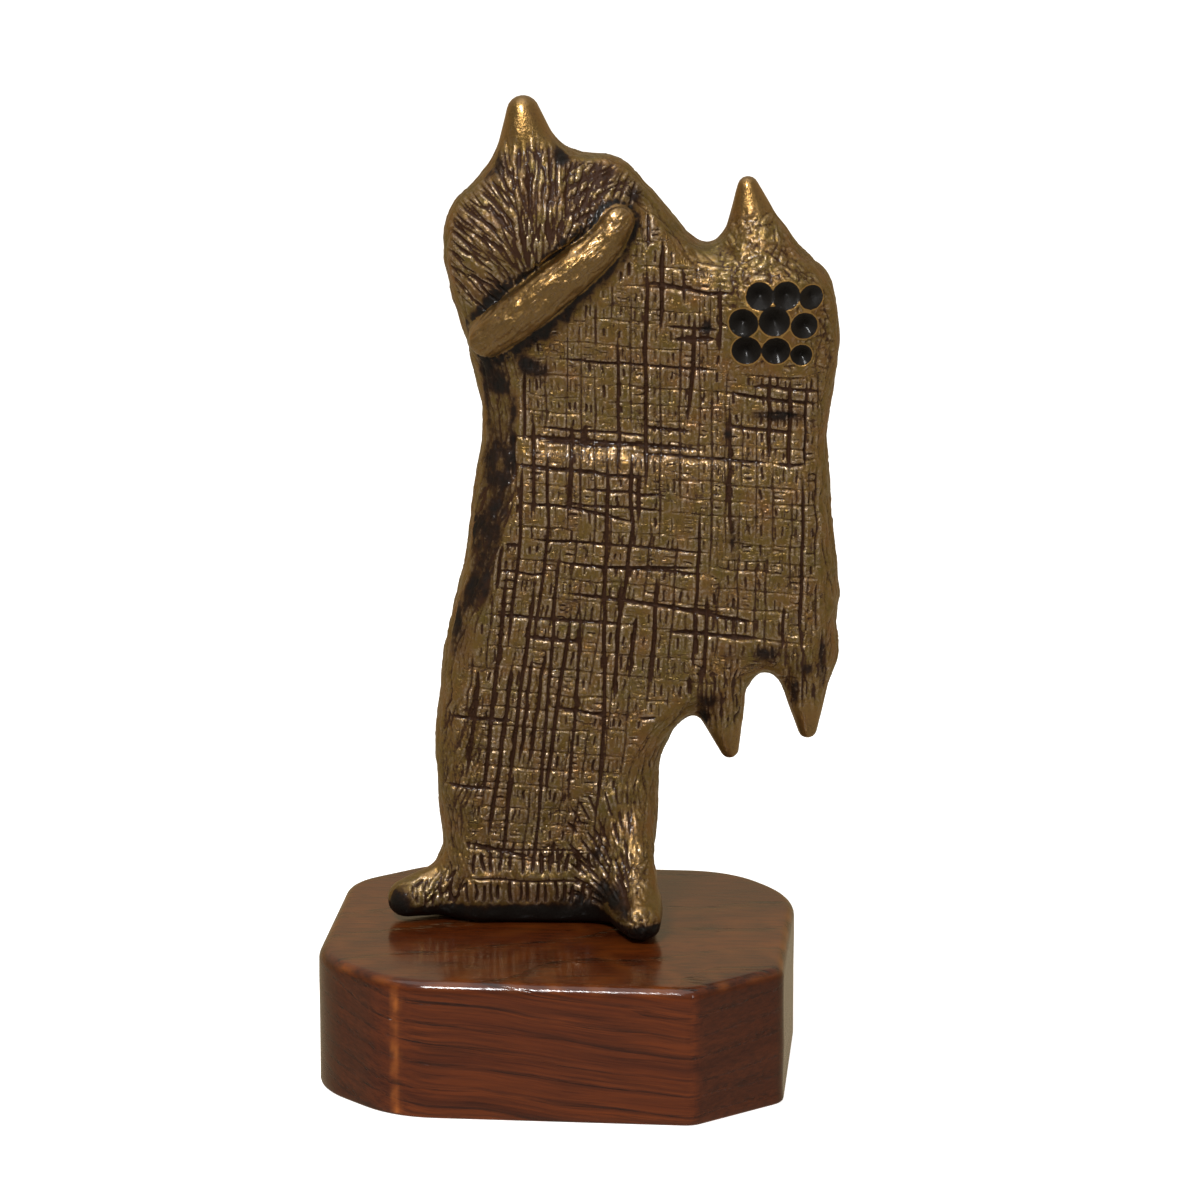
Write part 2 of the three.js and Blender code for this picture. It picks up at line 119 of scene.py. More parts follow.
# The long deep scores of the front, each from its upper or left end: x, z
MAIN_SCORES = [
    [(-9.9, 108.8), (-9.5, 98)],
    [(-5.4, 111.7), (-5.1, 90)],
    [(2.8, 110.6), (2.4, 91.3)],
    [(5.6, 110), (5.8, 104.6)],
    [(10.4, 109.3), (10.2, 88.3), (9.8, 76.7), (9.6, 43.5), (7, 16)],
    [(17, 100.3), (17, 89)],
    [(36.2, 115.5), (36.1, 95.6), (36.4, 86.6)],
    [(-5.1, 79), (-5.6, 70.4), (-8, 54.5), (-9.8, 38.4), (-11.8, 24)],
    [(-10.9, 80.3), (-13.6, 54.5), (-15.2, 39), (-16.8, 23.4)],
    [(0.7, 86.5), (-0.9, 73), (-1.8, 57), (-3.3, 40.3), (-5.1, 14.2)],
    [(4.5, 73), (4, 54.6), (2.7, 39.2), (1.6, 24.8)],
    [(13.4, 76.7), (11.8, 48.4)],
    [(20.9, 78), (20.5, 63.9), (19.5, 51.5)],
    [(22, 150.3), (21.8, 134)],
    [(28.7, 134), (28.4, 121.9), (27.2, 110)],
    [(-10, 107.5), (7, 106.3), (19.3, 105.5), (31.6, 104.4)],
    [(-10, 101.5), (10, 99.4)],
    [(-8.5, 93), (-0.6, 92.8), (10, 90.7), (17, 89)],
    [(-1.9, 80.6), (10, 79), (31, 79.2)],
    [(-0.2, 73.5), (13.5, 71.8), (25.4, 70), (37.2, 68.9)],
    [(21.8, 70.8), (41.9, 67)],
    [(22.4, 65), (43.2, 63.4)],
    [(-7.3, 63.6), (5, 62.5)],
    [(-24.2, 45.7), (-9.7, 44.7)],
    [(-2, 48), (11, 45.9)],
    [(-24.9, 30.3), (-14, 29.7)],
    [(-20, 17.7), (-5.8, 14.6)],
    [(17.2, 140.5), (22.4, 140.3), (31.2, 138.4), (38.2, 138.6)],
    [(24, 128.5), (33.4, 128.6)],
    [(34.7, 117), (44, 115.5), (55.2, 114.5)],
    [(17.2, 109.6), (28.4, 108.5)],
]

# The mesh of the figure
CELL = 0.32
CELL_DEEP = 0.6
FIELD_SLAB = 24
SETTLING_ROUNDS = 2
LEAST_STEEPNESS = 0.05
FAR_FROM_PITS = 9
FIELD_LOW = (-40.5, -17.5, -2.5)
FIELD_HIGH = (63.5, 25.5, 181.5)
FIGURE_TRIANGLES = 196000
KEEP_GROUP = "how freely the mesh may be thinned"
KEEP_FACTOR = 4e-6

# Relief maps: the front and the back are drawn flat, millimetres per cell
MAP_CELL = 0.14
MAP_LOW = (-42, -3)
MAP_HIGH = (66, 184)
SEED = 20

# The tool marks, in millimetres; a burr is a share of the depth of its stroke
SCORE_HALF_WIDTH = (0.38, 0.52)
SCORE_DEPTH = 0.6
SCORE_BURR = 0.5
SCORE_BEND = 4
SCORE_SWAY = 0.2
BACK_DEPTH = 0.45
BACK_BURR = 0.4
PLAIN_BURR = 0.3
# The grid's upper end and left end, and its two sets of lines: first and last line and the step between
# them, how far a line runs, its stretches, the gaps between these, places in a stretch and their wobble,
# the share of heavy stretches, and half width and share of the depth of heavy and of light ones
GRID_TOP = 168
GRID_LEFT = -28
LINE_DRIFT = 0.5
UPRIGHTS = {
    "lines": (-15, 60), "step": (2.6, 4.6), "runs": 160, "stretch": (14, 52), "gap": (-1, 2.5),
    "places": 9, "wobble": 0.16, "heavy": 0.3, "cuts": (((0.26, 0.36), 0.62), ((0.38, 0.52), 1)),
}
CROSS_LINES = {
    "lines": (8, 164), "step": (3.2, 5.8), "runs": 88, "stretch": (12, 44), "gap": (-1, 2),
    "places": 8, "wobble": 0.17, "heavy": 0.25, "cuts": (((0.2, 0.32), 0.55), ((0.34, 0.46), 0.85)),
}
# The bars side by side in each cell of the grid; the first of two values is for cross bars
UPRIGHT_SHARE = 0.74
BAR_STEP = (1.25, 1.7)
BAR_HALF_WIDTH = ((0.2, 0.3), (0.24, 0.4))
BAR_DEPTH = (0.45, 0.85)
# Upright strokes in two rows above the sole, and the fan over the right foot
PICKETS_ACROSS = (-26, 7)
# low and high end, and where the row begins
PICKET_ROWS = ((4.2, 9.8, -26), (10.6, 16.2, -20))
PICKET_STEP = (1.5, 2.4)
PICKET_HALF_WIDTH = (0.34, 0.48)
PICKET_DEPTH = (0.5, 0.7)
FAN = {
    "centre": (17, 3), "angles": (1.66, 2.95), "reach": (3, 28), "step": 1.5,
    "half_width": 0.34, "depth": 0.55, "burr": 0.5,
}
# Strokes along the narrow sides
SIDE_STROKES = 3400
SIDE_CELL = 0.2
# Soft unevenness of the skin, fine and broad: how high and how far across
LUMP_REACH = (0.42, 1.3)
FRONT_LUMPS = (0.045, 0.15)
BACK_LUMPS = (0.035, 0.12)
SIDE_LUMPS = (0.035, 0.1)
# How much a place has to face the front or the back to take its marks, from none to all
FRONT_FROM = (0.3, 0.62)
BACK_FROM = (0.35, 0.7)
# Reach of the smooth ends of the peaks and hanging points
TIP_ENDS = {"left peak": 6, "right peak": 4, "outer hanging point": 5, "inner hanging point": 5}


def smooth_min(a, b, k):
    h = np.maximum(k - np.abs(a - b), 0) / k
    return np.minimum(a, b) - h * h * k * 0.25


def smooth_max(a, b, k):
    return -smooth_min(-a, -b, k)


def smoothstep(low, high, x):
    """0 at low, 1 at high and smooth between; low may be the greater one."""
    t = np.clip((x - low) / (high - low), 0, 1)
    return t * t * (3 - 2 * t)


def spline(points, steps, closed):
    """A centripetal Catmull-Rom curve through points, as steps + 1 places."""
    points = np.array(points, float)
    count = len(points)
    spans = count if closed else count - 1
    places = []
    for s in range(steps + 1):
        at = min(s / steps * spans, spans - TINY)
        i = int(at)
        t = at - i
        if closed:
            p = [points[(i + k - 1) % count] for k in range(4)]
        else:
            before = points[i - 1] if i > 0 else 2 * points[0] - points[1]
            after = points[i + 2] if i + 2 < count else 2 * points[-1] - points[-2]
            p = [before, points[i], points[i + 1], after]
        d = [np.linalg.norm(p[k + 1] - p[k]) ** 0.5 for k in range(3)]
        m1 = (p[1] - p[0]) / d[0] - (p[2] - p[0]) / (d[0] + d[1]) + (p[2] - p[1]) / d[1]
        m2 = (p[2] - p[1]) / d[1] - (p[3] - p[1]) / (d[1] + d[2]) + (p[3] - p[2]) / d[2]
        m1, m2 = m1 * d[1], m2 * d[1]
        c2 = -3 * p[1] + 3 * p[2] - 2 * m1 - m2
        c3 = 2 * p[1] - 2 * p[2] + m1 + m2
        places.append(p[1] + m1 * t + c2 * t * t + c3 * t**3)
    return np.array(places)


OUTLINE_LINE = spline(OUTLINE, OUTLINE_STEPS, True)
ROLL_LINE = spline(ROLL, ROLL_STEPS, False)


class FlatMap:
    """A height drawn over a plane, read between its cells."""

    def __init__(self, values, low, cell):
        self.values = values.astype(np.float32)
        self.low = low
        self.cell = cell

    def at(self, a, b):
        u = np.clip((a - self.low[0]) / self.cell, 0, self.values.shape[0] - 1.001)
        v = np.clip((b - self.low[1]) / self.cell, 0, self.values.shape[1] - 1.001)
        i, j = u.astype(int), v.astype(int)
        u, v = u - i, v - j
        m = self.values
        near = m[i, j] * (1 - u) + m[i + 1, j] * u
        far = m[i, j + 1] * (1 - u) + m[i + 1, j + 1] * u
        return near * (1 - v) + far * v


def polygon_mask(x, z, corners):
    inside = np.zeros(np.shape(x), bool)
    for (ax, az), (bx, bz) in zip(corners, corners[1:] + corners[:1]):
        if az != bz:
            crosses = (az > z) != (bz > z)
            inside ^= crosses & (x < ax + (bx - ax) * (z - az) / (bz - az))
    return inside


def to_stretch(places, start, end):
    """What of the stretch from start to end is nearest to the places: its share of the way, its distance."""
    way = [b - a for a, b in zip(start, end)]
    off = [p - a for p, a in zip(places, start)]
    share = np.clip(sum(o * w for o, w in zip(off, way)) / max(sum(w * w for w in way), TINY), 0, 1)
    return share, np.sqrt(sum((o - share * w) ** 2 for o, w in zip(off, way)))


def outline_map(cell=0.5, low=(-50, -14), high=(70, 186)):
    """Signed distance to the outline and the length along it of the nearest place."""
    axes = [np.arange(low[d], high[d] + cell, cell) for d in range(2)]
    x, z = np.meshgrid(*axes, indexing="ij")
    best = np.full(x.shape, FAR)
    along = np.zeros(x.shape)
    start = 0
    for a, b in zip(OUTLINE_LINE[:-1], OUTLINE_LINE[1:]):
        length = np.linalg.norm(b - a)
        share, distance = to_stretch((x, z), a, b)
        along = np.where(distance < best, start + share * length, along)
        best = np.minimum(best, distance)
        start += length
    inside = polygon_mask(x, z, OUTLINE_LINE[:-1].tolist())
    return FlatMap(np.where(inside, -best, best), low, cell), FlatMap(along, low, cell)


OUTLINE_DISTANCE, OUTLINE_ALONG = outline_map()
OUTLINE_LENGTH = float(np.linalg.norm(np.diff(OUTLINE_LINE, axis=0), axis=1).sum())


def slab_at(z):
    heights, halves, middles = np.array(THICKNESS, float).T
    i = np.clip(np.searchsorted(heights, z, side="right") - 1, 0, len(heights) - 2)
    t = smoothstep(heights[i], heights[i + 1], z)
    half = halves[i] + (halves[i + 1] - halves[i]) * t
    middle = middles[i] + (middles[i + 1] - middles[i]) * t
    return half, middle


def cone_field(p, cone):
    tip, tip_radius, root, root_radius, _ = cone
    tip, root = np.array(tip, float), np.array(root, float)
    length = np.linalg.norm(root - tip)
    axis = (root - tip) / length
    q = [p[d] - tip[d] for d in range(3)]
    along = sum(q[d] * axis[d] for d in range(3))
    off = np.sqrt(np.maximum(sum(c * c for c in q) - along * along, 0))
    slope = (root_radius - tip_radius) / length
    t = np.clip(along + off * slope / math.sqrt(1 - slope * slope), 0, length)
    return np.hypot(off, along - t) - (tip_radius + slope * t)


def body_field(p):
    """The plain body without roll, valley and pits: negative inside."""
    x, y, z = p
    half, middle = slab_at(z)
    rim = np.full(np.shape(x), float(RIM_WIDTH))
    for width, centre, reach in RIM_REGIONS:
        away = np.hypot((x - centre[0]) / reach[0], (z - centre[1]) / reach[1])
        rim = rim + (width - RIM_WIDTH) * (1 - smoothstep(RIM_CORE, 1, away))
    across = np.maximum(OUTLINE_DISTANCE.at(x, z) + rim, 0) / rim
    deep = np.abs(y - middle) / half
    field = ((across**RIM_POWER + deep**RIM_POWER) ** (1 / RIM_POWER) - 1) * half
    for centre, size, blend in SWELLINGS:
        reach = np.sqrt(sum(((p[d] - centre[d]) / size[d]) ** 2 for d in range(3)))
        field = smooth_min(field, (reach - 1) * min(size), blend)
    for cone in CONES.values():
        field = smooth_min(field, cone_field(p, cone), cone[4])
    return smooth_max(field, -z, SOLE_ROUNDING)


def roll_field(p, extra, forward):
    """Distance to the round bar along the roll's centre line."""
    field = np.full(np.shape(p[0]), FAR)
    moved = p[0], p[1] + forward, p[2]
    for a, b in zip(ROLL_LINE[:-1], ROLL_LINE[1:]):
        share, off = to_stretch(moved, a[:3], b[:3])
        field = np.minimum(field, off - (a[3] + (b[3] - a[3]) * share + extra))
    return field


def figure_field(p):
    """The whole form but for the pits: negative inside."""
    field = body_field(p)
    near = np.ones(np.shape(field), bool)
    for c, (low, high) in zip(p, ROLL_BOX):
        near &= (c > low) & (c < high)
    if not near.any():
        return field
    q = [c[near] for c in np.broadcast_arrays(*p)]
    valley = roll_field(q, VALLEY_EXTRA_RADIUS, VALLEY_FORWARD)
    part = smooth_max(field[near], -valley, VALLEY_EDGE)
    field[near] = smooth_min(part, roll_field(q, 0, 0), ROLL_JOIN)
    return field


def slope_of(field, p, probe=0.03):
    slopes = []
    for d in range(3):
        ahead, behind = list(p), list(p)
        ahead[d] = p[d] + probe
        behind[d] = p[d] - probe
        slopes.append((field(ahead) - field(behind)) / (2 * probe))
    return slopes


def cell_places(value, axes):
    """The active cells' numbers in the grid, and in each the middle of where its edges meet the surface."""
    inside = value < 0
    shape = [s - 1 for s in value.shape]
    count = np.zeros(shape, np.int8)
    for c in range(8):
        i, j, k = c & 1, c >> 1 & 1, c >> 2 & 1
        count += inside[i : shape[0] + i, j : shape[1] + j, k : shape[2] + k]
    active = (count > 0) & (count < 8)
    index = np.full(shape, -1, np.int32)
    cells = np.array(np.nonzero(active))
    index[active] = np.arange(cells.shape[1])
    total = np.zeros(cells.shape)
    crossings = np.zeros(cells.shape[1])
    for c in range(8):
        for d in range(3):
            if c >> d & 1:
                continue
            a = cells + np.array([[c & 1], [c >> 1 & 1], [c >> 2 & 1]])
            b = a.copy()
            b[d] += 1
            va, vb = value[tuple(a)], value[tuple(b)]
            hit = (va < 0) != (vb < 0)
            t = np.where(hit, va / np.where(hit, va - vb, 1), 0)
            for e in range(3):
                place = axes[e][a[e]] * (1 - t) + axes[e][b[e]] * t
                total[e] += np.where(hit, place, 0)
            crossings += hit
    return index, total / crossings


def facets_between(value, index):
    """A four-sided facet round each grid edge that the surface crosses."""
    inside = value < 0
    quads = []
    for d in range(3):
        u, v = (d + 1) % 3, (d + 2) % 3
        lower = [slice(1, s) for s in index.shape]
        upper = list(lower)
        upper[d] = slice(2, index.shape[d] + 1)
        edges = np.array(np.nonzero(inside[tuple(lower)] != inside[tuple(upper)])) + 1
        leaving = inside[tuple(edges)]
        ring = []
        for du, dv in ((0, 0), (1, 0), (1, 1), (0, 1)):
            cell = edges.copy()
            cell[u] -= du
            cell[v] -= dv
            ring.append(index[tuple(cell)])
        ring = np.array(ring).T
        ring[~leaving] = ring[~leaving][:, ::-1]
        quads.append(ring)
    return np.concatenate(quads)


def skin_field():
    """Places on the surface, the normals there and four-sided facets between them."""
    steps = (CELL, CELL_DEEP, CELL)
    axes = [np.arange(FIELD_LOW[d], FIELD_HIGH[d], steps[d]) for d in range(3)]
    value = np.empty([len(a) for a in axes], np.float32)
    for i in range(0, len(axes[0]), FIELD_SLAB):
        some = slice(i, i + FIELD_SLAB)
        value[some] = figure_field(np.meshgrid(axes[0][some], axes[1], axes[2], indexing="ij"))
    index, places = cell_places(value, axes)
    quads = facets_between(value, index)
    for _ in range(SETTLING_ROUNDS):
        slope = slope_of(figure_field, list(places))
        steep = np.maximum(sum(s * s for s in slope), LEAST_STEEPNESS)
        move = np.clip(figure_field(list(places)) / steep, -CELL, CELL)
        for d in range(3):
            places[d] -= slope[d] * move
    slope = np.array(slope_of(figure_field, list(places)))
    return places, slope / np.maximum(np.linalg.norm(slope, axis=0), TINY), quads


# Relief: every mark of the modelling tool is a stroke drawn into a map
def blurred(values, radius_cells):
    """A Gaussian blur by its spectrum."""
    fi = np.fft.fftfreq(values.shape[0])[:, None]
    fj = np.fft.rfftfreq(values.shape[1])[None, :]
    keep = np.exp(-2 * (math.pi * radius_cells) ** 2 * (fi * fi + fj * fj))
    return np.fft.irfft2(np.fft.rfft2(values) * keep, values.shape)


def lumps(rng, shape, radius_cells):
    """Soft random hills with a spread of one."""
    soft = blurred(rng.standard_normal(shape), radius_cells)
    return soft / soft.std()


class Carving:
    """Grooves and the burrs beside them, drawn over a plane."""

    def __init__(self, low, high, cell=MAP_CELL):
        self.low, self.cell = low, cell
        shape = [int((high[d] - low[d]) / cell) + 2 for d in range(2)]
        self.groove = np.zeros(shape, np.float32)
        self.burr = np.zeros(shape, np.float32)

    def stroke(self, points, half_width, depth, burr):
        """Cuts a line of points that tapers at its ends, with burrs burr * depth high beside it."""
        points = np.asarray(points, float)
        reach = half_width * 2.6
        low = [max(int((points[:, d].min() - reach - self.low[d]) / self.cell), 0) for d in range(2)]
        high = [
            min(int((points[:, d].max() + reach - self.low[d]) / self.cell) + 2, self.groove.shape[d])
            for d in range(2)
        ]
        if low[0] >= high[0] or low[1] >= high[1]:
            return
        a = self.low[0] + self.cell * np.arange(low[0], high[0])[:, None]
        b = self.low[1] + self.cell * np.arange(low[1], high[1])[None, :]
        best = np.full((high[0] - low[0], high[1] - low[1]), FAR)
        share = np.zeros_like(best)
        spans = len(points) - 1
        for s in range(spans):
            t, d = to_stretch((a, b), points[s], points[s + 1])
            share = np.where(d < best, (s + t) / spans, share)
            best = np.minimum(best, d)
        ends = np.clip(4.5 * np.minimum(share, 1 - share) + 0.35, 0, 1)
        off = best / (half_width * ends)
        cut = depth * ends * np.clip(1.25 - off * off * 1.25, 0, 1)
        lip = burr * depth * ends * np.exp(-(((off - 1.5) / 0.45) ** 2))
        box = (slice(low[0], high[0]), slice(low[1], high[1]))
        self.groove[box] = np.maximum(self.groove[box], cut)
        self.burr[box] = np.maximum(self.burr[box], lip)


def wandering(rng, start, end, steps, sway):
    """A line from start to end that sways a little, as a hand draws it."""
    start, end = np.array(start, float), np.array(end, float)
    along = np.linspace(0, 1, steps + 1)[:, None]
    line = start + (end - start) * along
    side = np.array([start[1] - end[1], end[0] - start[0]])
    side /= max(np.linalg.norm(side), TINY)
    drift = np.cumsum(rng.normal(0, 1, steps + 1))
    drift -= np.linspace(drift[0], drift[-1], steps + 1)
    return line + side * (drift * sway / max(math.sqrt(steps), 1))[:, None]


# The scored cloth-like area of the front, and the fur-scored head lobe
GRID_AREA = [
    (-9, 127), (-8.6, 115), (-8.2, 100), (-11.5, 87), (-14.8, 71), (-20, 60),
    (-23, 50), (-22.5, 36), (-20, 24), (-20.5, 12), (6, 12), (8, 27), (13, 30),
    (18, 41), (28, 50), (37, 55), (50, 58), (56.5, 64), (56.5, 86), (54.5, 106),
    (56.6, 122), (36, 122), (35, 141), (26, 146), (18, 157), (14.5, 157),
]
LOBE_AREA = [
    (-24, 147), (-21, 157), (-12, 163), (-10, 171), (-5, 171), (0, 166), (12, 165),
    (18, 159), (12, 160), (6, 153), (-5, 143), (-19, 131),
]


def lean_x(u, z):
    """x of a scored upright that stands at u on the chest: the legs lean left."""
    below = np.maximum(86 - z, 0)
    pull = 0.115 * (1 - smoothstep(8, 40, u)) + 0.02
    return u - below * pull


def slope_z(v, x):
    """z of a scored cross line that starts at v in the middle of the body."""
    return v - 0.075 * x


def score_main_lines(rng, carving):
    """The long deep scores that catch the eye first."""
    for line in MAIN_SCORES:
        points = np.array(line, float)
        places = []
        for start, end in zip(points[:-1], points[1:]):
            steps = max(int(np.linalg.norm(end - start) / SCORE_BEND), 2)
            places.extend(wandering(rng, start, end, steps, SCORE_SWAY))
        carving.stroke(places, rng.uniform(*SCORE_HALF_WIDTH), SCORE_DEPTH, SCORE_BURR)


def upright_path(u, along):
    z = GRID_TOP - along
    return np.column_stack([lean_x(u, z), z])


def cross_path(v, along):
    x = GRID_LEFT + along
    return np.column_stack([x, slope_z(v, x)])


def lines_of(rng, kind):
    lines = [kind["lines"][0]]
    while lines[-1] < kind["lines"][1]:
        lines.append(lines[-1] + rng.uniform(*kind["step"]))
    return lines


def score_lines(rng, carving, keep, lines, kind, path_of, depth, burr):
    """One set of the grid's lines, each broken into stretches."""
    for line in lines:
        along = 0
        while along < kind["runs"]:
            length = rng.uniform(*kind["stretch"])
            drift = rng.normal(0, LINE_DRIFT)
            half_width, share = kind["cuts"][rng.random() < kind["heavy"]]
            path = path_of(line + drift, np.linspace(along, along + length, kind["places"]))
            path += rng.normal(0, kind["wobble"], path.shape)
            for run in kept_runs(path, keep(path[:, 0], path[:, 1])):
                carving.stroke(run, rng.uniform(*half_width), depth * share, burr)
            along += length + rng.uniform(*kind["gap"])


def score_grid(rng, carving, keep, depth, burr):
    """Uprights, cross lines, and the short strokes in the cells between them."""
    uprights = lines_of(rng, UPRIGHTS)
    crosses = lines_of(rng, CROSS_LINES)
    score_lines(rng, carving, keep, uprights, UPRIGHTS, upright_path, depth, burr)
    score_lines(rng, carving, keep, crosses, CROSS_LINES, cross_path, depth, burr)
    for across in zip(uprights[:-1], uprights[1:]):
        for upward in zip(crosses[:-1], crosses[1:]):
            fill_cell(rng, carving, keep, across, upward, depth, burr)


def kept_runs(path, keep):
    """The stretches of a path that lie where marks are kept."""
    runs, run = [], []
    for place, kept in zip(path, keep):
        if kept:
            run.append(place)
        elif run:
            runs.append(run)
            run = []
    runs.append(run)
    return [np.array(r) for r in runs if len(r) > 1]


def fill_cell(rng, carving, keep, across, upward, depth, burr):
    """Short bars side by side in one cell of the grid, upright ones in most cells."""
    width, height = across[1] - across[0], upward[1] - upward[0]
    upright = rng.random() < UPRIGHT_SHARE
    span = width if upright else height
    count = max(int(round(span / rng.uniform(*BAR_STEP))) - 1, 1)
    for c in range(count):
        share = (c + 1 + rng.normal(0, 0.12)) / (count + 1)
        ends = rng.uniform(0.08, 0.28), rng.uniform(0.72, 0.92)
        along = np.linspace(*ends, 4)
        v = upward[0] + height * (along if upright else share)
        u = across[0] + width * (share if upright else along)
        z = slope_z(v, lean_x(u, v))
        path = np.column_stack([lean_x(u, z), z]) + rng.normal(0, 0.1, (4, 2))
        if keep(path[:, 0], path[:, 1]).all():
            half_width = rng.uniform(*BAR_HALF_WIDTH[upright])
            carving.stroke(path, half_width, depth * rng.uniform(*BAR_DEPTH), burr)


def score_flow(rng, carving, keep, direction, spacing, length, half_width, depth, burr, spread):
    """Short strokes strewn evenly over an area, each along the direction there."""
    step = (spacing, length * 0.42)
    axes = [np.arange(MAP_LOW[d], MAP_HIGH[d], step[d]) for d in range(2)]
    x, z = [a + rng.uniform(-0.5, 0.5, a.shape) * s for a, s in zip(np.meshgrid(*axes, indexing="ij"), step)]
    kept = keep(x, z)
    x, z = x[kept], z[kept]
    dx, dz = direction(x, z)
    turn = rng.normal(0, spread, len(x))
    dx, dz = dx * np.cos(turn) - dz * np.sin(turn), dx * np.sin(turn) + dz * np.cos(turn)
    reach = length * rng.uniform(0.3, 0.65, len(x))
    bend = rng.normal(0, 0.06, len(x)) * length
    middle, way = np.column_stack([x, z]), np.column_stack([dx, dz])
    side = np.column_stack([-dz, dx])
    for i in rng.permutation(len(x)):
        ahead = way[i] * reach[i]
        path = [middle[i] - ahead, middle[i] + side[i] * bend[i], middle[i] + ahead]
        width = half_width * rng.uniform(0.7, 1.35)
        carving.stroke(path, width, depth * rng.uniform(0.55, 1.2), burr)


def picket_row(rng, carving, across, upward, first):
    """A row of upright strokes side by side, about 1.9 mm apart, under a wavy line."""
    x = across[0]
    while x < across[1]:
        sway = rng.normal(0, 0.25, 3)
        low, high = upward[0] + rng.uniform(0, 1), upward[1] - rng.uniform(0, 1)
        if x >= first:
            path = np.column_stack([x + sway, np.linspace(low, high, 3)])
            carving.stroke(path, rng.uniform(*PICKET_HALF_WIDTH), rng.uniform(*PICKET_DEPTH), SCORE_BURR)
        x += rng.uniform(*PICKET_STEP)
    line = wandering(rng, (across[0] + 5, upward[1] + 0.3), (across[1], upward[1] - 0.2), 14, 0.5)
    carving.stroke(line, 0.3, 0.45, 0.4)


def score_rays(rng, carving, keep, centre, angles, reach, step, half_width, depth, burr):
    """Lines that fan out of a centre, each broken and swaying a little."""
    for angle in np.arange(*angles, step / (0.5 * (reach[0] + reach[1]))):
        turn = angle + rng.normal(0, 0.015)
        way = np.array([math.cos(turn), math.sin(turn)])
        at = reach[0] + rng.uniform(0, 2)
        while at < reach[1]:
            length = rng.uniform(4, 11)
            path = wandering(rng, centre + way * at, centre + way * (at + length), 6, 0.16)
            for run in kept_runs(path, keep(path[:, 0], path[:, 1])):
                carving.stroke(run, half_width * rng.uniform(0.8, 1.2), depth * rng.uniform(0.7, 1.1), burr)
            at += length + rng.uniform(0.2, 1.4)


def steady(dx, dz):
    """The same direction everywhere."""
    return lambda x, z: (np.full(np.shape(x), dx, float), np.full(np.shape(x), dz, float))


def along_outline(x, z, probe=0.6):
    gx = OUTLINE_DISTANCE.at(x + probe, z) - OUTLINE_DISTANCE.at(x - probe, z)
    gz = OUTLINE_DISTANCE.at(x, z + probe) - OUTLINE_DISTANCE.at(x, z - probe)
    length = np.maximum(np.hypot(gx, gz), TINY)
    return -gz / length, gx / length


def lobe_direction(x, z):
    """Down-right on the left of the lobe, upright in its middle, down-left beyond."""
    lean = smoothstep(-4, -15, x) * smoothstep(168, 158, z) - smoothstep(-3, 8, x) * 0.42
    angle = -math.pi / 2 + lean * math.radians(52)
    return np.cos(angle), np.sin(angle)


def roll_distance(x, z):
    """Distance in the front view to the roll's centre line, over its radius."""
    best = np.full(np.shape(x), FAR)
    for a, b in zip(ROLL_LINE[:-1], ROLL_LINE[1:]):
        share, off = to_stretch((x, z), a[[0, 2]], b[[0, 2]])
        best = np.minimum(best, off / (a[3] + (b[3] - a[3]) * share))
    return best


def pit_distance(x, z):
    """Distance to the nearest pit's centre, over its radius."""
    best = np.full(np.shape(x), FAR)
    for px, pz, radius in PITS:
        best = np.minimum(best, np.hypot(x - px, z - pz) / radius)
    return best


def near_cone(x, z, name, reach):
    """True beside the named peak, point or toe in the front view."""
    tip, tip_radius, root, root_radius, _ = CONES[name]
    share, off = to_stretch((x, z), tip[::2], root[::2])
    return off < (tip_radius + (root_radius - tip_radius) * share) * reach


def in_grid(x, z):
    clear = (roll_distance(x, z) > 1.35) & (pit_distance(x, z) > 1.25)
    return polygon_mask(x, z, GRID_AREA) & clear


def in_lobe(x, z):
    return polygon_mask(x, z, LOBE_AREA) & (roll_distance(x, z) > 1.45)


def on_tip(x, z):
    found = np.zeros(np.shape(x), bool)
    for name in TIP_ENDS:
        found |= near_cone(x, z, name, 0.85)
    return found


def on_rim(x, z):
    plain = ~polygon_mask(x, z, GRID_AREA) & ~polygon_mask(x, z, LOBE_AREA)
    inside = OUTLINE_DISTANCE.at(x, z) < 0.5
    clear = (roll_distance(x, z) > 1.3) & (pit_distance(x, z) > 1.2)
    return plain & inside & clear & ~on_tip(x, z) & (z > 11)


def on_hanging_point(x, z):
    """The upper parts of both hanging points, above their smooth tips."""
    outer = near_cone(x, z, "outer hanging point", 0.85) & (z > 46)
    return outer | (near_cone(x, z, "inner hanging point", 0.85) & (z > 41))


def in_crossed_lobe(x, z):
    """The right part of the lobe, where a second set of strokes runs across."""
    return in_lobe(x, z) & (x > 2) & (z > 155 - 0.3 * x) & (z < 166)


def on_left_band(x, z):
    return (z > 70) & (z < 97) & (x > -19) & (x < -9.5 - 0.3 * (94 - z) * (z < 94))


def in_fan(x, z):
    return (x > 1.5) & (x < 15.5) & (z > 5) & (z < 31 - 0.6 * (9 - x) * (x < 9))


def on_calf(x, z):
    return (x < -17) & (x > -26) & (z > 24) & (z < 50)


def on_left_toe(x, z):
    return (x > -32) & (x < -21) & (z > 4) & (z < 11 + 0.5 * (x + 26))


def on_right_toe(x, z):
    return (x > 12) & (x < 22) & (z > 1.5) & (z < 17)


def on_shoulder(x, z):
    return (x > 33) & (z > 121) & (z < 154) & (pit_distance(x, z) > 1.12) & ~in_grid(x, z)


def on_roll(x, z):
    return roll_distance(x, z) < 0.85


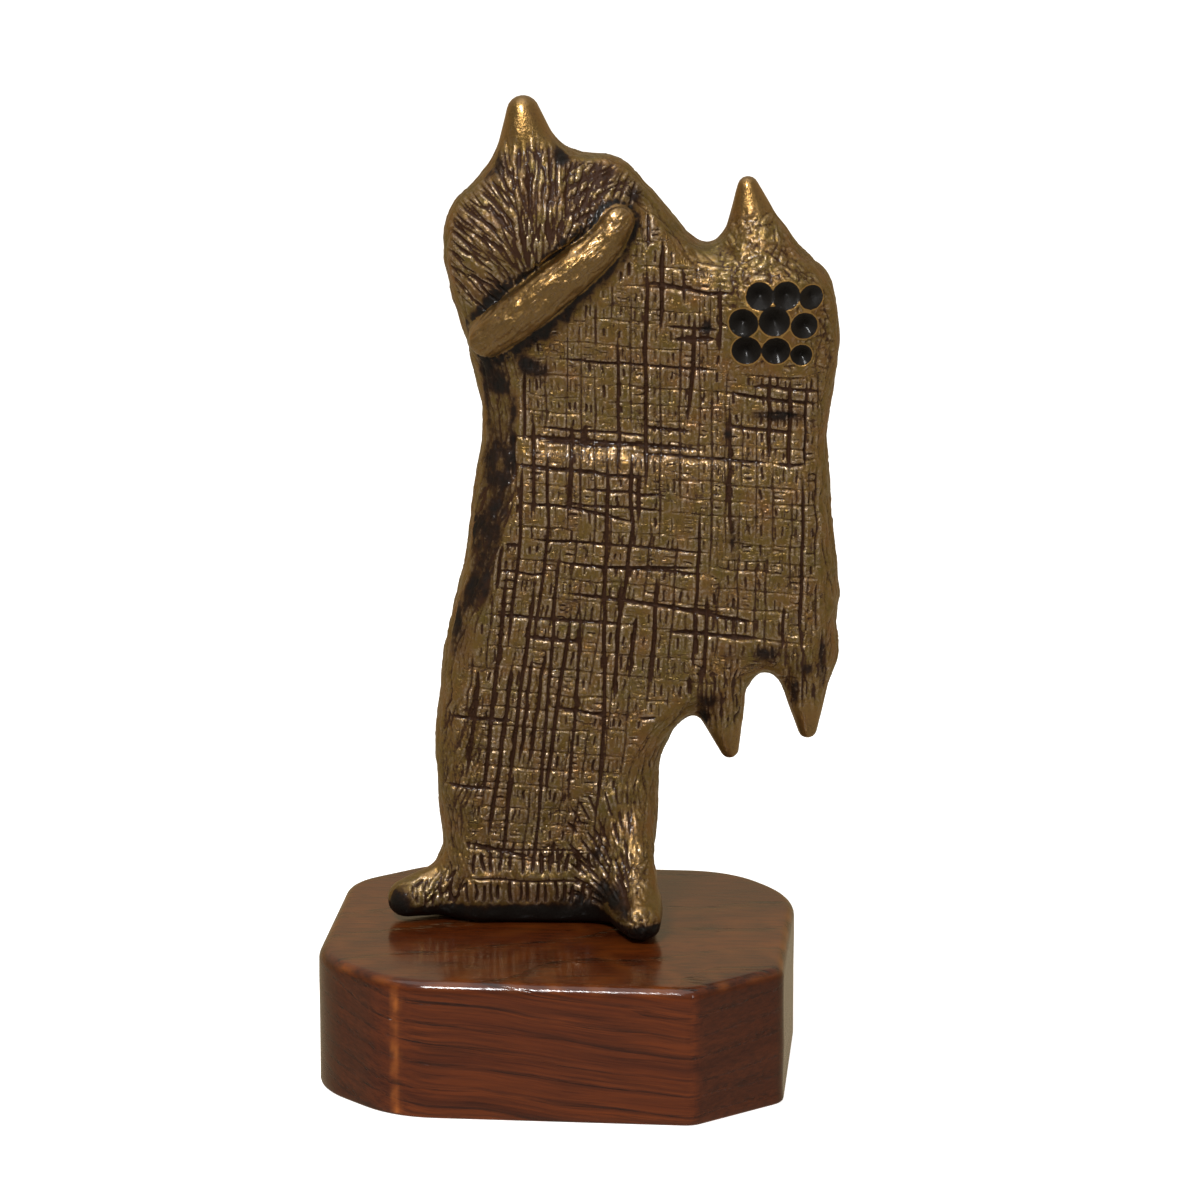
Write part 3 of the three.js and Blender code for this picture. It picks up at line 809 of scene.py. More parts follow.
# Strokes strewn over an area: where, which way, then in millimetres the step between them, their length,
# half width and depth, then the share of burr and how far they stray from the direction, in radians
UPPER_FLOWS = [
    (in_lobe, lobe_direction, 1.35, 6.5, 0.29, 0.5, 0.45, 0.09),
    (in_crossed_lobe, steady(0.9, 0.42), 1.4, 5, 0.26, 0.45, 0.4, 0.1),
    (on_rim, along_outline, 0.95, 8, 0.19, 0.3, PLAIN_BURR, 0.12),
    (on_left_band, steady(0.38, 0.92), 1.1, 5.5, 0.24, 0.4, PLAIN_BURR, 0.08),
    (on_tip, steady(0.02, 1), 1.0, 6, 0.15, 0.14, PLAIN_BURR, 0.06),
    (on_hanging_point, steady(0.02, 1), 1.3, 6, 0.26, 0.4, 0.5, 0.06),
]
LATER_FLOWS = [
    (on_calf, steady(-0.3, -0.95), 1.5, 7, 0.24, 0.36, PLAIN_BURR, 0.06),
    (on_left_toe, steady(0.25, 0.97), 1.5, 2.6, 0.3, 0.45, 0.5, 0.3),
    (on_shoulder, steady(0.9, 0.3), 1.5, 2.8, 0.3, 0.3, 0.5, 1.0),
    (on_right_toe, steady(0.3, 0.9), 1.6, 2.2, 0.28, 0.3, 0.5, 0.8),
    (on_roll, steady(0.76, 0.65), 1.05, 5, 0.17, 0.24, PLAIN_BURR, 0.07),
]


def front_carving(rng):
    carving = Carving(MAP_LOW, MAP_HIGH)
    score_main_lines(rng, carving)
    score_grid(rng, carving, in_grid, SCORE_DEPTH, SCORE_BURR)
    for flow in UPPER_FLOWS:
        score_flow(rng, carving, *flow)
    score_rays(rng, carving, in_fan, **FAN)
    for low, high, first in PICKET_ROWS:
        picket_row(rng, carving, PICKETS_ACROSS, (low, high), first)
    for flow in LATER_FLOWS:
        score_flow(rng, carving, *flow)
    return carving


def on_back(x, z):
    return (OUTLINE_DISTANCE.at(x, z) < -5) & (z > 12) & (z < 150)


def round_back(x, z):
    return (OUTLINE_DISTANCE.at(x, z) < 0.5) & ~on_back(x, z)


def back_carving(rng):
    """The back is scored the same way, but plainer and with a lighter hand."""
    carving = Carving(MAP_LOW, MAP_HIGH)
    score_grid(rng, carving, on_back, BACK_DEPTH, BACK_BURR)
    score_flow(rng, carving, round_back, along_outline, 0.9, 7, 0.2, 0.2, PLAIN_BURR, 0.2)
    return carving


def side_carving(rng):
    """The narrow sides: strokes that run lengthwise; a is along the outline, b to the back."""
    carving = Carving((0, -2), (OUTLINE_LENGTH, 27), SIDE_CELL)
    for _ in range(SIDE_STROKES):
        a = rng.uniform(0, OUTLINE_LENGTH)
        b = rng.uniform(-1, 26)
        length = rng.uniform(3, 11)
        path = [(a, b), (a + length / 2, b + rng.normal(0, 0.25)), (a + length, b + rng.normal(0, 0.5))]
        carving.stroke(path, rng.uniform(0.16, 0.32), rng.uniform(0.1, 0.26), PLAIN_BURR)
    return carving


def relief_of(carving, rng, lump_heights):
    """Height of the carved skin, how deep each place lies in a groove, and the crests of the burrs."""
    cell = carving.cell
    groove, burr = carving.groove, carving.burr
    hollow = blurred(groove, 0.5 / cell)
    height = burr * np.clip(1 - groove / 0.2, 0, 1) - groove - 0.9 * hollow
    for lump_height, reach in zip(lump_heights, LUMP_REACH):
        height += lump_height * lumps(rng, groove.shape, reach / cell)
    depth = np.clip(groove / 0.5, 0, 1) * 0.9 + np.clip(hollow / 0.4, 0, 1) * 0.15
    crest = np.clip(burr / 0.24, 0, 1) * np.clip(1 - groove / 0.15, 0, 1)
    return [FlatMap(values, carving.low, cell) for values in (height, np.clip(depth, 0, 1), crest)]


# Places painted dark, partly patina left thick in creases and partly painted shade under the hem, between the
# toes and along the sole: x, z, reach across, reach up
DARK_PLACES = [
    (-14, 102, 4.5, 5), (-10, 108, 2, 14), (-13, 118, 3.5, 7), (-6, 122, 6, 4),
    (52, 57, 4, 4), (31, 49, 5, 4), (-15.5, 166, 2.5, 6), (0.5, 167.5, 3, 5),
    (16, 159, 5, 3), (36, 108, 2, 2), (-23, 66, 4, 9), (-19, 88, 3, 12),
    (37, 86, 1.6, 9), (10, 8, 7, 4.5), (46, 112, 9, 2), (-35, 5, 5, 5),
    (31, 131, 2.5, 3), (4, 5, 8, 3.5), (44, 60, 10, 3), (22, 30, 2.5, 9),
    (13.5, 6, 3, 5), (18, 2, 4, 4), (-15, 3, 12, 3.2), (8, 15, 3, 4),
    (31, 45, 2, 6), (50.5, 51, 1.6, 6), (56.5, 58, 1.5, 9), (-12.5, 165, 2, 4),
]
# Places that hands and cloths have rubbed golden on the tips and toes, and a painted highlight along the lit
# fold across the chest (the last, wide one)
BRIGHT_PLACES = [
    (-8, 174, 4, 6), (40, 158, 4, 5), (53.6, 42, 3, 5), (36.8, 37, 3, 5),
    (-29, 10.4, 3.4, 1.2), (-25, 13.8, 2.5, 1.6), (17.4, 8, 1.7, 3), (16.6, 15, 1.3, 6),
    (15, 103, 28, 3.5),
]


def place_weight(x, z, places):
    weight = np.zeros(np.shape(x))
    for px, pz, reach_x, reach_z in places:
        away = ((x - px) / reach_x) ** 2 + ((z - pz) / reach_z) ** 2
        weight = np.maximum(weight, np.exp(-away))
    return weight


def ledge(x, z):
    """A soft fold across the chest: the belly stands forward below it."""
    top = 104.6 - 0.05 * x
    body = smoothstep(-12, -4, x) * (1 - smoothstep(34, 50, x))
    return 1.0 * body * smoothstep(0, 1.6, top - z) * (1 - smoothstep(3, 26, top - z))


def pit_depth(x, z):
    """The drilled cones, with the faint rings of the drill."""
    depth = np.zeros(np.shape(x))
    for px, pz, radius in PITS:
        off = np.hypot(x - px, z - pz)
        cone = PIT_SLOPE * np.maximum(radius - off, 0)
        rings = 0.04 * np.sin(off / radius * 5 * math.pi) * (off < radius * 0.92)
        depth = np.maximum(depth, cone + rings * (cone > 0))
    return depth


def shares_facing(normals):
    """How much each place belongs to the front and to the back."""
    return smoothstep(*FRONT_FROM, -normals[1]), smoothstep(*BACK_FROM, normals[1])


def tip_shares(places):
    """1 on the smooth ends of the peaks and hanging points, and 0 away from them."""
    tips = np.zeros(places.shape[1])
    for name, end in TIP_ENDS.items():
        distance = np.sqrt(sum((p - c) ** 2 for p, c in zip(places, CONES[name][0])))
        tips = np.maximum(tips, 1 - smoothstep(end, end * 1.9, distance))
    return tips


def carve_figure(places, normals, depth_scale):
    """The height of the relief at each place, and its grooves and crests as shares 0 to 1."""
    x, y, z = places
    rng = np.random.default_rng(SEED)
    maps = [
        relief_of(carve(rng), rng, lump_heights)
        for carve, lump_heights in (
            (front_carving, FRONT_LUMPS), (back_carving, BACK_LUMPS), (side_carving, SIDE_LUMPS),
        )
    ]
    facing, away = shares_facing(normals)
    where = [(facing, x, z), (away, x, z), (1 - facing - away, OUTLINE_ALONG.at(x, z), y)]
    height, groove, crest = [
        sum(share * side[kind].at(a, b) for side, (share, a, b) in zip(maps, where)) for kind in range(3)
    ]
    # the tips are rubbed smooth, and so is the metal between the pits; the sole keeps flat
    calm = np.clip(1 - 0.8 * tip_shares(places) - 0.85 * (pit_distance(x, z) < 1.1) * facing, 0, 1)
    height = height * calm * smoothstep(0.3, 2.5, z) * depth_scale
    return height + ledge(x, z) * facing, groove * calm, crest * calm


def snap_to_pits(places, facing):
    """Brings the places nearest to a pit's mouth onto its rim."""
    x, _, z = places
    for px, pz, radius in PITS:
        off = np.hypot(x - px, z - pz)
        near = (np.abs(off - radius) < CELL * 0.5) & (facing > 0.5)
        scale = radius / off[near]
        x[near] = px + (x[near] - px) * scale
        z[near] = pz + (z[near] - pz) * scale


def mesh_from(name, places, faces):
    """A mesh from an array of places in metres and one of faces of equal size."""
    mesh = bpy.data.meshes.new(name)
    sides = faces.shape[1]
    mesh.vertices.add(len(places))
    mesh.vertices.foreach_set("co", places.astype(np.float32).ravel())
    mesh.loops.add(faces.size)
    mesh.loops.foreach_set("vertex_index", faces.astype(np.int32).ravel())
    mesh.polygons.add(len(faces))
    mesh.polygons.foreach_set("loop_start", np.arange(0, faces.size, sides, dtype=np.int32))
    mesh.update(calc_edges=True)
    mesh.validate()
    return mesh


def into_row(places):
    """From the figure's own millimetres to metres in the row frame."""
    x, y, z = places
    c, s = math.cos(FIGURE_TURN), math.sin(FIGURE_TURN)
    base = BLOCK_HIGH.z / MM + SOLE_GAP
    return np.array([x * c - y * s, x * s + y * c - FIGURE_FORWARD, z + base]).T * MM


def new_object(name, mesh):
    made = bpy.data.objects.new(name, mesh)
    bpy.context.scene.collection.objects.link(made)
    return made


def read_places(mesh):
    flat = np.empty(len(mesh.vertices) * 3, np.float32)
    mesh.vertices.foreach_get("co", flat)
    return flat.reshape(-1, 3).astype(float)


def put_attribute(mesh, name, values):
    attribute = mesh.attributes.new(name, "FLOAT", "POINT")
    attribute.data.foreach_set("value", values.astype(np.float32))


def dark_share(x, z, facing, roll_off):
    """How dark each place is painted: a band beside the roll, painted shade on the left flank, thick patina
    on the lobe, the dark places, and black towards the sole.
    """
    grain = 0.75 + 0.25 * np.sin(x * 3.1 + 2 * np.sin(z * 2.3)) * np.sin(z * 2.9 + x)
    reach = 2.6 + smoothstep(8, 2, x) * 1.6
    beside = 1.3 * np.exp(-((np.maximum(roll_off, 0) / reach) ** 2)) * grain
    beside = np.minimum(beside, 1) * smoothstep(0.1, 0.5, np.abs(roll_off)) * facing
    # painted shade on the left flank, which turns away from the light
    left_band = smoothstep(1.5, -1.5, x + 9.5 + 0.22 * np.maximum(94 - z, 0)) * smoothstep(56, 72, z)
    left_band *= smoothstep(128, 122, z) * facing
    spots = place_weight(x, z, DARK_PLACES) * (facing > 0.2)
    dark = np.maximum.reduce([spots, 0.85 * left_band, 0.56 * in_lobe(x, z) * facing])
    # black towards the sole, from 5.6 mm down to 3.2 mm
    return np.maximum.reduce([0.8 * dark, beside, 1 - smoothstep(3.2, 5.6, z)])


def figure_marks(places, normals, groove, crest):
    """What the material needs to know of each place, as named values."""
    x, _, z = places
    facing, away = shares_facing(normals)
    roll_off = roll_field(places, 0, 0)
    on_bar = 1 - smoothstep(0.1, 0.5, np.abs(roll_off))
    dark = dark_share(x, z, facing, roll_off)
    # rubbed golden places, and a painted highlight on the chest's fold
    bright = place_weight(x, z, BRIGHT_PLACES) * (facing > 0.2) * 0.8
    bright = np.maximum.reduce([bright, 0.55 * tip_shares(places), 0.75 * on_bar])
    woven = polygon_mask(x, z, GRID_AREA) & (roll_distance(x, z) > 1.2) | in_grid(x, z)
    return {
        "groove": groove,
        "crest": crest,
        "dark": dark,
        "bright": bright * (1 - dark * 0.7),
        "pit": np.where(facing > FRONT_FROM[0], pit_distance(x, z), FAR_FROM_PITS),
        "weave": np.maximum(woven * facing, away * 0.6),
    }


def build_figure(depth_scale):
    places, normals, quads = skin_field()
    facing, _ = shares_facing(normals)
    snap_to_pits(places, facing)
    height, groove, crest = carve_figure(places, normals, depth_scale)
    carved = places + normals * height
    carved[1] += pit_depth(places[0], places[2]) * (facing > FRONT_FROM[0])
    mesh = mesh_from("bronze_figure_cast", into_row(carved), quads)
    for name, values in figure_marks(places, normals, groove, crest).items():
        put_attribute(mesh, name, values)
    figure = new_object("bronze_figure_cast", mesh)
    # the mesh of the front is thinned less than the rest
    group = figure.vertex_groups.new(name=KEEP_GROUP)
    in_front = facing > 0.05
    group.add(np.nonzero(in_front)[0].tolist(), 0.5, "REPLACE")
    group.add(np.nonzero(~in_front)[0].tolist(), 1.0, "REPLACE")
    return figure


def thin_out(obj, triangles):
    """Turns the mesh into triangles and keeps only as many as asked."""
    obj.modifiers.new("triangles", "TRIANGULATE")
    modifier = obj.modifiers.new("thin", "DECIMATE")
    count = sum(len(p.vertices) - 2 for p in obj.data.polygons)
    modifier.ratio = min(triangles / count, 1)
    modifier.vertex_group = KEEP_GROUP
    modifier.vertex_group_factor = KEEP_FACTOR
    graph = bpy.context.evaluated_depsgraph_get()
    mesh = bpy.data.meshes.new_from_object(obj.evaluated_get(graph))
    obj.modifiers.clear()
    old = obj.data
    obj.data = mesh
    bpy.data.meshes.remove(old)
    mesh.name = obj.name


# Materials
def linear(hex_colour):
    """An sRGB hex colour as linear light with full alpha."""
    value = hex_colour.lstrip("#")
    parts = [int(value[i : i + 2], 16) / 255 for i in (0, 2, 4)]
    return [c / 12.92 if c <= 0.04045 else ((c + 0.055) / 1.055) ** 2.4 for c in parts] + [1.0]


def per_size(millimetres):
    """Texture scale, in object metres, for marks of a real size."""
    return 1 / (millimetres * MM)


def add_node(tree, kind, inputs=None, stops=None, **settings):
    """One node with its settings, its ramp stops and its input values or links; a text is a hex colour."""
    made = tree.nodes.new("ShaderNode" + kind)
    for key, value in settings.items():
        setattr(made, key, value)
    if stops:
        elements = made.color_ramp.elements
        while len(elements) < len(stops):
            elements.new(0.5)
        for element, (position, colour) in zip(elements, stops):
            element.position = position
            element.color = linear(colour)
    for key, value in (inputs or {}).items():
        if isinstance(value, bpy.types.NodeSocket):
            tree.links.new(value, made.inputs[key])
        else:
            made.inputs[key].default_value = linear(value) if isinstance(value, str) else value
    return made


def object_place(tree):
    return add_node(tree, "TexCoord").outputs["Object"]


def mark(tree, name):
    """A value that the mesh carries under this name."""
    return add_node(tree, "Attribute", attribute_name=name).outputs["Fac"]


def stretched(tree, place, scale):
    return add_node(tree, "Mapping", {"Vector": place, "Scale": scale}).outputs[0]


def noise(tree, place, size, detail=2, roughness=0.5):
    """Clouds about size millimetres across, 0 to 1."""
    inputs = {"Vector": place, "Scale": per_size(size), "Detail": detail, "Roughness": roughness}
    return add_node(tree, "TexNoise", inputs).outputs["Fac"]


def ramp(tree, value, low=0.0, high=1.0, start=0.0, end=1.0, kind="LINEAR"):
    """start up to where the value is low, end from where it is high."""
    inputs = {"Value": value, "From Min": low, "From Max": high, "To Min": start, "To Max": end}
    return add_node(tree, "MapRange", inputs, interpolation_type=kind).outputs["Result"]


def math_of(tree, operation, *values):
    return add_node(tree, "Math", dict(enumerate(values)), operation=operation).outputs[0]


def vector_of(tree, operation, first, second):
    key = "Scale" if operation == "SCALE" else 1
    return add_node(tree, "VectorMath", {0: first, key: second}, operation=operation).outputs[0]


def mixed(tree, share, first, second):
    """The first colour where the share is 0 and the second where it is 1."""
    return add_node(tree, "Mix", {0: share, 6: first, 7: second}, data_type="RGBA").outputs[2]


def coloured(tree, value, *stops):
    return add_node(tree, "ValToRGB", {"Fac": value}, stops=stops).outputs["Color"]


def bumped(tree, height, strength, millimetres, below=None):
    inputs = {"Height": height, "Strength": strength, "Distance": millimetres * MM}
    if below is not None:
        inputs["Normal"] = below
    return add_node(tree, "Bump", inputs).outputs["Normal"]


def finish_material(tree, **inputs):
    named = {name.replace("_", " "): value for name, value in inputs.items()}
    surface = add_node(tree, "BsdfPrincipled", named)
    add_node(tree, "OutputMaterial", {"Surface": surface.outputs[0]})


def new_material(name):
    material = bpy.data.materials.new(name)
    material.use_nodes = True
    tree = material.node_tree
    tree.nodes.clear()
    return material, tree


def fine_tool_marks(tree, place, weave):
    """Marks too fine for the mesh, 0 to 1: box-like scores about 1.9 by 2.9 mm
    and short upright and cross bars 0.7 mm wide, kept where weave is 1."""
    sway = add_node(tree, "TexNoise", {"Vector": place, "Scale": per_size(3), "Detail": 2}).outputs["Color"]
    sway = vector_of(tree, "SUBTRACT", sway, (0.5, 0.5, 0.5))
    drawn = vector_of(tree, "ADD", place, vector_of(tree, "SCALE", sway, 1.1 * MM))
    boxes = stretched(tree, drawn, (per_size(1.9), per_size(40), per_size(2.9)))
    near, far = [
        add_node(
            tree, "TexVoronoi", {"Vector": boxes, "Scale": 1.0, "Randomness": 0.8},
            distance="CHEBYCHEV", feature=feature,
        ).outputs["Distance"]
        for feature in ("F1", "F2")
    ]
    marks = ramp(tree, math_of(tree, "SUBTRACT", far, near), 0.03, 0.14, 0.8, 0.0)
    for size in ((0.7, 40, 2.6), (2.6, 40, 0.7)):
        at = stretched(tree, drawn, [per_size(s) for s in size])
        inputs = {"Vector": at, "Scale": 1.0, "Detail": 1, "Roughness": 0.4}
        bars = ramp(tree, add_node(tree, "TexNoise", inputs).outputs["Fac"], 0.6, 0.67)
        marks = math_of(tree, "MAXIMUM", marks, bars)
    # only some of them catch the eye, in patches about 5 mm across
    patch = ramp(tree, noise(tree, place, 5, 1), 0.35, 0.6, 0.25)
    return math_of(tree, "MULTIPLY", math_of(tree, "MULTIPLY", marks, patch), weave)


def patinated_cast_bronze(settings):
    """Lost-wax cast tin bronze under a thin brown-olive patina, worn back to the
    metal on the crests, and waxed. To the eye: matt olive-brown planes, dark brown
    lines in every groove and small sharp pinkish-white highlights on the crests,
    partly lit and partly painted into the colour as a pale crest tone."""
    material, tree = new_material("patinated_cast_bronze")
    place = object_place(tree)
    groove, dark, bright, crest, weave, pit = [
        mark(tree, name) for name in ("groove", "dark", "bright", "crest", "weave", "pit")
    ]
    # cloudy changes of the patina, and fine mottling
    cloud = noise(tree, place, 6, 4, 0.6)
    mottle = noise(tree, place, 0.7, 3, 0.65)
    fine_cut = fine_tool_marks(tree, place, weave)
    metal = coloured(tree, cloud, (0.32, settings.olive), (0.5, settings.metal), (0.7, settings.warm))
    # golden where rubbed, and a painted highlight along the chest's fold
    golden = mixed(tree, bright, metal, settings.rubbed_and_highlight)
    # mottled brown film over the planes
    filmed = mixed(tree, ramp(tree, mottle, 0.5, 0.75, 0.0, 0.5), golden, settings.brown)
    # crests of the relief, rubbed bare where the mottle lets them through, in a pale pinkish tone that also
    # paints their highlights
    bare_and_highlit = math_of(tree, "MULTIPLY", ramp(tree, mottle, 0.44, 0.62, 0.12), crest)
    crested = mixed(tree, bare_and_highlit, filmed, settings.crest)
    # the groove keeps the patina; the mottle frays its edge
    cut = math_of(tree, "MAXIMUM", groove, math_of(tree, "MULTIPLY", fine_cut, 0.62))
    frayed = math_of(tree, "ADD", cut, ramp(tree, mottle, 0.3, 0.7, -0.16, 0.16))
    in_groove = ramp(tree, frayed, 0.24, 0.72, kind="SMOOTHSTEP")
    grooved = mixed(tree, in_groove, crested, settings.groove)
    # dark places, partly thick patina and partly painted shade, cloudy at their edges; crests stay visible in
    # them
    shade = math_of(tree, "ADD", dark, ramp(tree, cloud, 0.3, 0.7, -0.25, 0.25))
    shade = ramp(tree, shade, 0.25, 0.95, kind="SMOOTHSTEP")
    spared = math_of(tree, "MULTIPLY_ADD", bare_and_highlit, -0.45, 1.0)
    shade = math_of(tree, "MULTIPLY", shade, spared)
    # the pits are black to their thin rims; each rim takes the rubbed colour, as rubbed metal and painted
    # highlight
    shade = math_of(tree, "MAXIMUM", shade, ramp(tree, pit, 0.92, 0.97, 1.0, 0.0))
    on_pit_rim = math_of(tree, "COMPARE", pit, 1.0, 0.035)
    # a thin patina looks brown, a thick one black; these tones also paint the shade on the left flank, under
    # the hem and between the toes
    patina_and_shade_tone = mixed(tree, ramp(tree, shade, 0.45), settings.groove, settings.black)
    shaded = mixed(tree, ramp(tree, shade, 0.0, 0.75), grooved, patina_and_shade_tone)
    # painted highlight, with rubbed metal, on each pit's thin rim
    colour = mixed(tree, on_pit_rim, shaded, settings.rubbed_and_highlight)
    dull = math_of(tree, "MAXIMUM", in_groove, shade)
    proud = math_of(tree, "MAXIMUM", bright, bare_and_highlit)
    patina = math_of(tree, "MULTIPLY_ADD", dull, -0.75, 1.0)
    metallic = math_of(tree, "MULTIPLY", ramp(tree, proud, start=0.7), patina)
    # tool marks too fine for the mesh, then the cast skin's lumps of 0.6 mm and less
    scored = bumped(tree, math_of(tree, "SUBTRACT", 1.0, fine_cut), 1.0, 0.22)
    skin = bumped(tree, noise(tree, place, 0.6, 3, 0.55), 1.0, 0.14, scored)
    finish_material(
        tree, Base_Color=colour, Metallic=metallic, Roughness=ramp(tree, dull, start=0.32, end=0.6),
        Normal=skin, Specular_IOR_Level=0.2,
        # the wax takes a shine only where it is rubbed
        Coat_Weight=ramp(tree, proud, start=0.12, end=0.8), Coat_Roughness=0.12,
    )
    return material


# How the layers of the board lie: how fast they are crossed along x, y and z
LAYER_SLOPE = (0.095, -0.226, 1.0)


def stained_lacquered_ash(settings):
    """Coarse ring-porous hardwood, red-brown stain, sanded and brushed with glossy
    lacquer. To the eye: long dark grain streaks, open pores that sparkle, an
    orange line where the arris was rubbed through, and a mirror-like top."""
    material, tree = new_material("stained_lacquered_ash")
    place = object_place(tree)
    # the board's layers rise to the back and fall to the right, and are not quite flat
    warp = ramp(tree, noise(tree, place, 40), start=-2.5 * MM, end=2.5 * MM)
    layer = add_node(tree, "VectorMath", {0: place, 1: LAYER_SLOPE}, operation="DOT_PRODUCT").outputs["Value"]
    layer = math_of(tree, "ADD", layer, warp)
    parts = add_node(tree, "SeparateXYZ", {"Vector": place}).outputs
    grain = add_node(tree, "CombineXYZ", {"X": parts["X"], "Y": parts["Y"], "Z": layer}).outputs[0]
    layers = noise(tree, stretched(tree, grain, (0.06, 0.12, 1)), 4.2, 3)
    fibres = noise(tree, stretched(tree, grain, (0.03, 0.5, 1)), 0.7, 4, 0.7)
    pores_at = stretched(tree, grain, (0.11, 0.6, 1))
    pores = add_node(tree, "TexVoronoi", {"Vector": pores_at, "Scale": per_size(0.7)}, feature="F1")
    stain = coloured(tree, layers, (0.35, settings.stain), (0.65, settings.light_grain))
    streaked = mixed(tree, ramp(tree, fibres, 0.4, 0.7, 0.0, 0.8), stain, settings.dark_grain)
    # the start of each year's growth: a thin dark wavy line, broken here and there
    year = noise(tree, stretched(tree, grain, (0.09, 0.16, 1)), 7, 2, 0.6)
    rings = math_of(tree, "MULTIPLY", layer, per_size(4.6))
    rings = math_of(tree, "FRACT", math_of(tree, "MULTIPLY_ADD", year, 1.8, rings))
    early = ramp(tree, rings, 0.0, 0.3, 1.0, 0.0)
    early = math_of(tree, "MULTIPLY", early, ramp(tree, fibres, 0.36, 0.56))
    ringed = mixed(tree, math_of(tree, "MULTIPLY", early, 0.7), streaked, settings.pore)
    open_pore = ramp(tree, pores.outputs["Distance"], 0.14, 0.34, 0.85, 0.0)
    open_pore = math_of(tree, "MULTIPLY", open_pore, early)
    pored = mixed(tree, open_pore, ringed, settings.pore)
    # end grain drinks more of the stain
    soaked = mixed(tree, mark(tree, "end_grain"), pored, settings.dark_grain)
    colour = mixed(tree, mark(tree, "worn"), soaked, settings.worn)
    sunk = math_of(tree, "MULTIPLY_ADD", open_pore, 2.5, early)
    wood = bumped(tree, math_of(tree, "SUBTRACT", fibres, sunk), 0.5, 0.1)
    # the lacquer lies wavy over the pores, 2.5 mm across
    lacquer = bumped(tree, noise(tree, place, 2.5), 0.2, 0.1, wood)
    finish_material(
        tree, Base_Color=colour, Roughness=0.45, Normal=wood, Specular_IOR_Level=0.05,
        Coat_Weight=0.8, Coat_Roughness=0.11, Coat_Normal=lacquer,
    )
    return material


def painted_floor(settings):
    """A matt painted board that glows a little: an even, pale ground with only a soft shadow."""
    material, tree = new_material("matt_painted_board")
    cloud = noise(tree, object_place(tree), 300)
    colour = coloured(tree, cloud, (0.3, settings.floor), (0.7, settings.floor_light))
    finish_material(
        tree, Base_Color=colour, Roughness=0.7, Emission_Color="#ffffff", Emission_Strength=0.85,
    )
    return material


# The block
# side in x and y, how far the corner is sawn off across and back, rounding
CORNERS = [
    (1, -1, 18, 16, 5), (1, 1, 15, 17, 26), (-1, 1, 17.5, 15.5, 16), (-1, -1, 18.5, 16.5, 20),
]
LONGEST_REACH = 0.46
CORNER_STEPS = 12
FOOT_ROUNDING = 0.8
FOOT_STEPS = 3
ARRIS_STEPS = 7
SIDE_RINGS = 22
PLACES_AROUND = 360
# rings on the top, as shares of its outline
TOP_RINGS = (0.96, 0.9, 0.8, 0.68, 0.54, 0.4, 0.26, 0.12)
END_GRAIN_DARK = 0.75


def block_plan(half_x, half_y, margin):
    """The block's outline, drawn in by the margin, with each corner sawn off and rounded."""
    less_cut = (2 - math.sqrt(2)) * margin
    half_x, half_y = half_x - margin, half_y - margin
    plan = []
    for side_x, side_y, cut_x, cut_y, rounding in CORNERS:
        on_side = np.array([side_x * half_x, side_y * (half_y - cut_y + less_cut)])
        on_front = np.array([side_x * (half_x - cut_x + less_cut), side_y * half_y])
        first_side = side_x * side_y > 0
        ends = [on_side, on_front] if first_side else [on_front, on_side]
        along = (ends[1] - ends[0]) / np.linalg.norm(ends[1] - ends[0])
        before = np.array([0, side_y] if first_side else [side_x, 0], float)
        after = np.array([-side_x, 0] if first_side else [0, -side_y], float)
        turn = math.acos(np.clip(along @ before, -1, 1))
        longest = LONGEST_REACH * np.linalg.norm(ends[1] - ends[0])
        reach = min(rounding * math.tan(turn / 2), longest)
        for corner, way_in, way_out in ((ends[0], before, along), (ends[1], along, after)):
            start, stop = corner - way_in * reach, corner + way_out * reach
            for t in np.linspace(0, 1, CORNER_STEPS + 1):
                plan.append(start * (1 - t) ** 2 + corner * 2 * t * (1 - t) + stop * t * t)
    return np.array(plan)


def evened(plan, count):
    """The same closed line with count places at equal steps."""
    closed = np.vstack([plan, plan[:1]])
    lengths = np.concatenate([[0], np.cumsum(np.linalg.norm(np.diff(closed, axis=0), axis=1))])
    at = np.linspace(0, lengths[-1], count, endpoint=False)
    return np.array([np.interp(at, lengths, closed[:, d]) for d in range(2)]).T


def quarter_round(radius, steps):
    """How far in and how far up an edge of this radius goes, from upright to level."""
    turns = np.linspace(0, math.pi / 2, steps + 1)
    return [(radius * (1 - math.cos(a)), radius * math.sin(a)) for a in turns]


def block_levels(height, arris):
    """Margin and height of each ring up the side, over the rounded foot and arris."""
    foot = [(margin, FOOT_ROUNDING - up) for margin, up in quarter_round(FOOT_ROUNDING, FOOT_STEPS)]
    side = np.linspace(FOOT_ROUNDING, height - arris, SIDE_RINGS)[1:-1]
    top = [(margin, height - arris + up) for margin, up in quarter_round(arris, ARRIS_STEPS)]
    return foot[::-1] + [(0, h) for h in side] + top


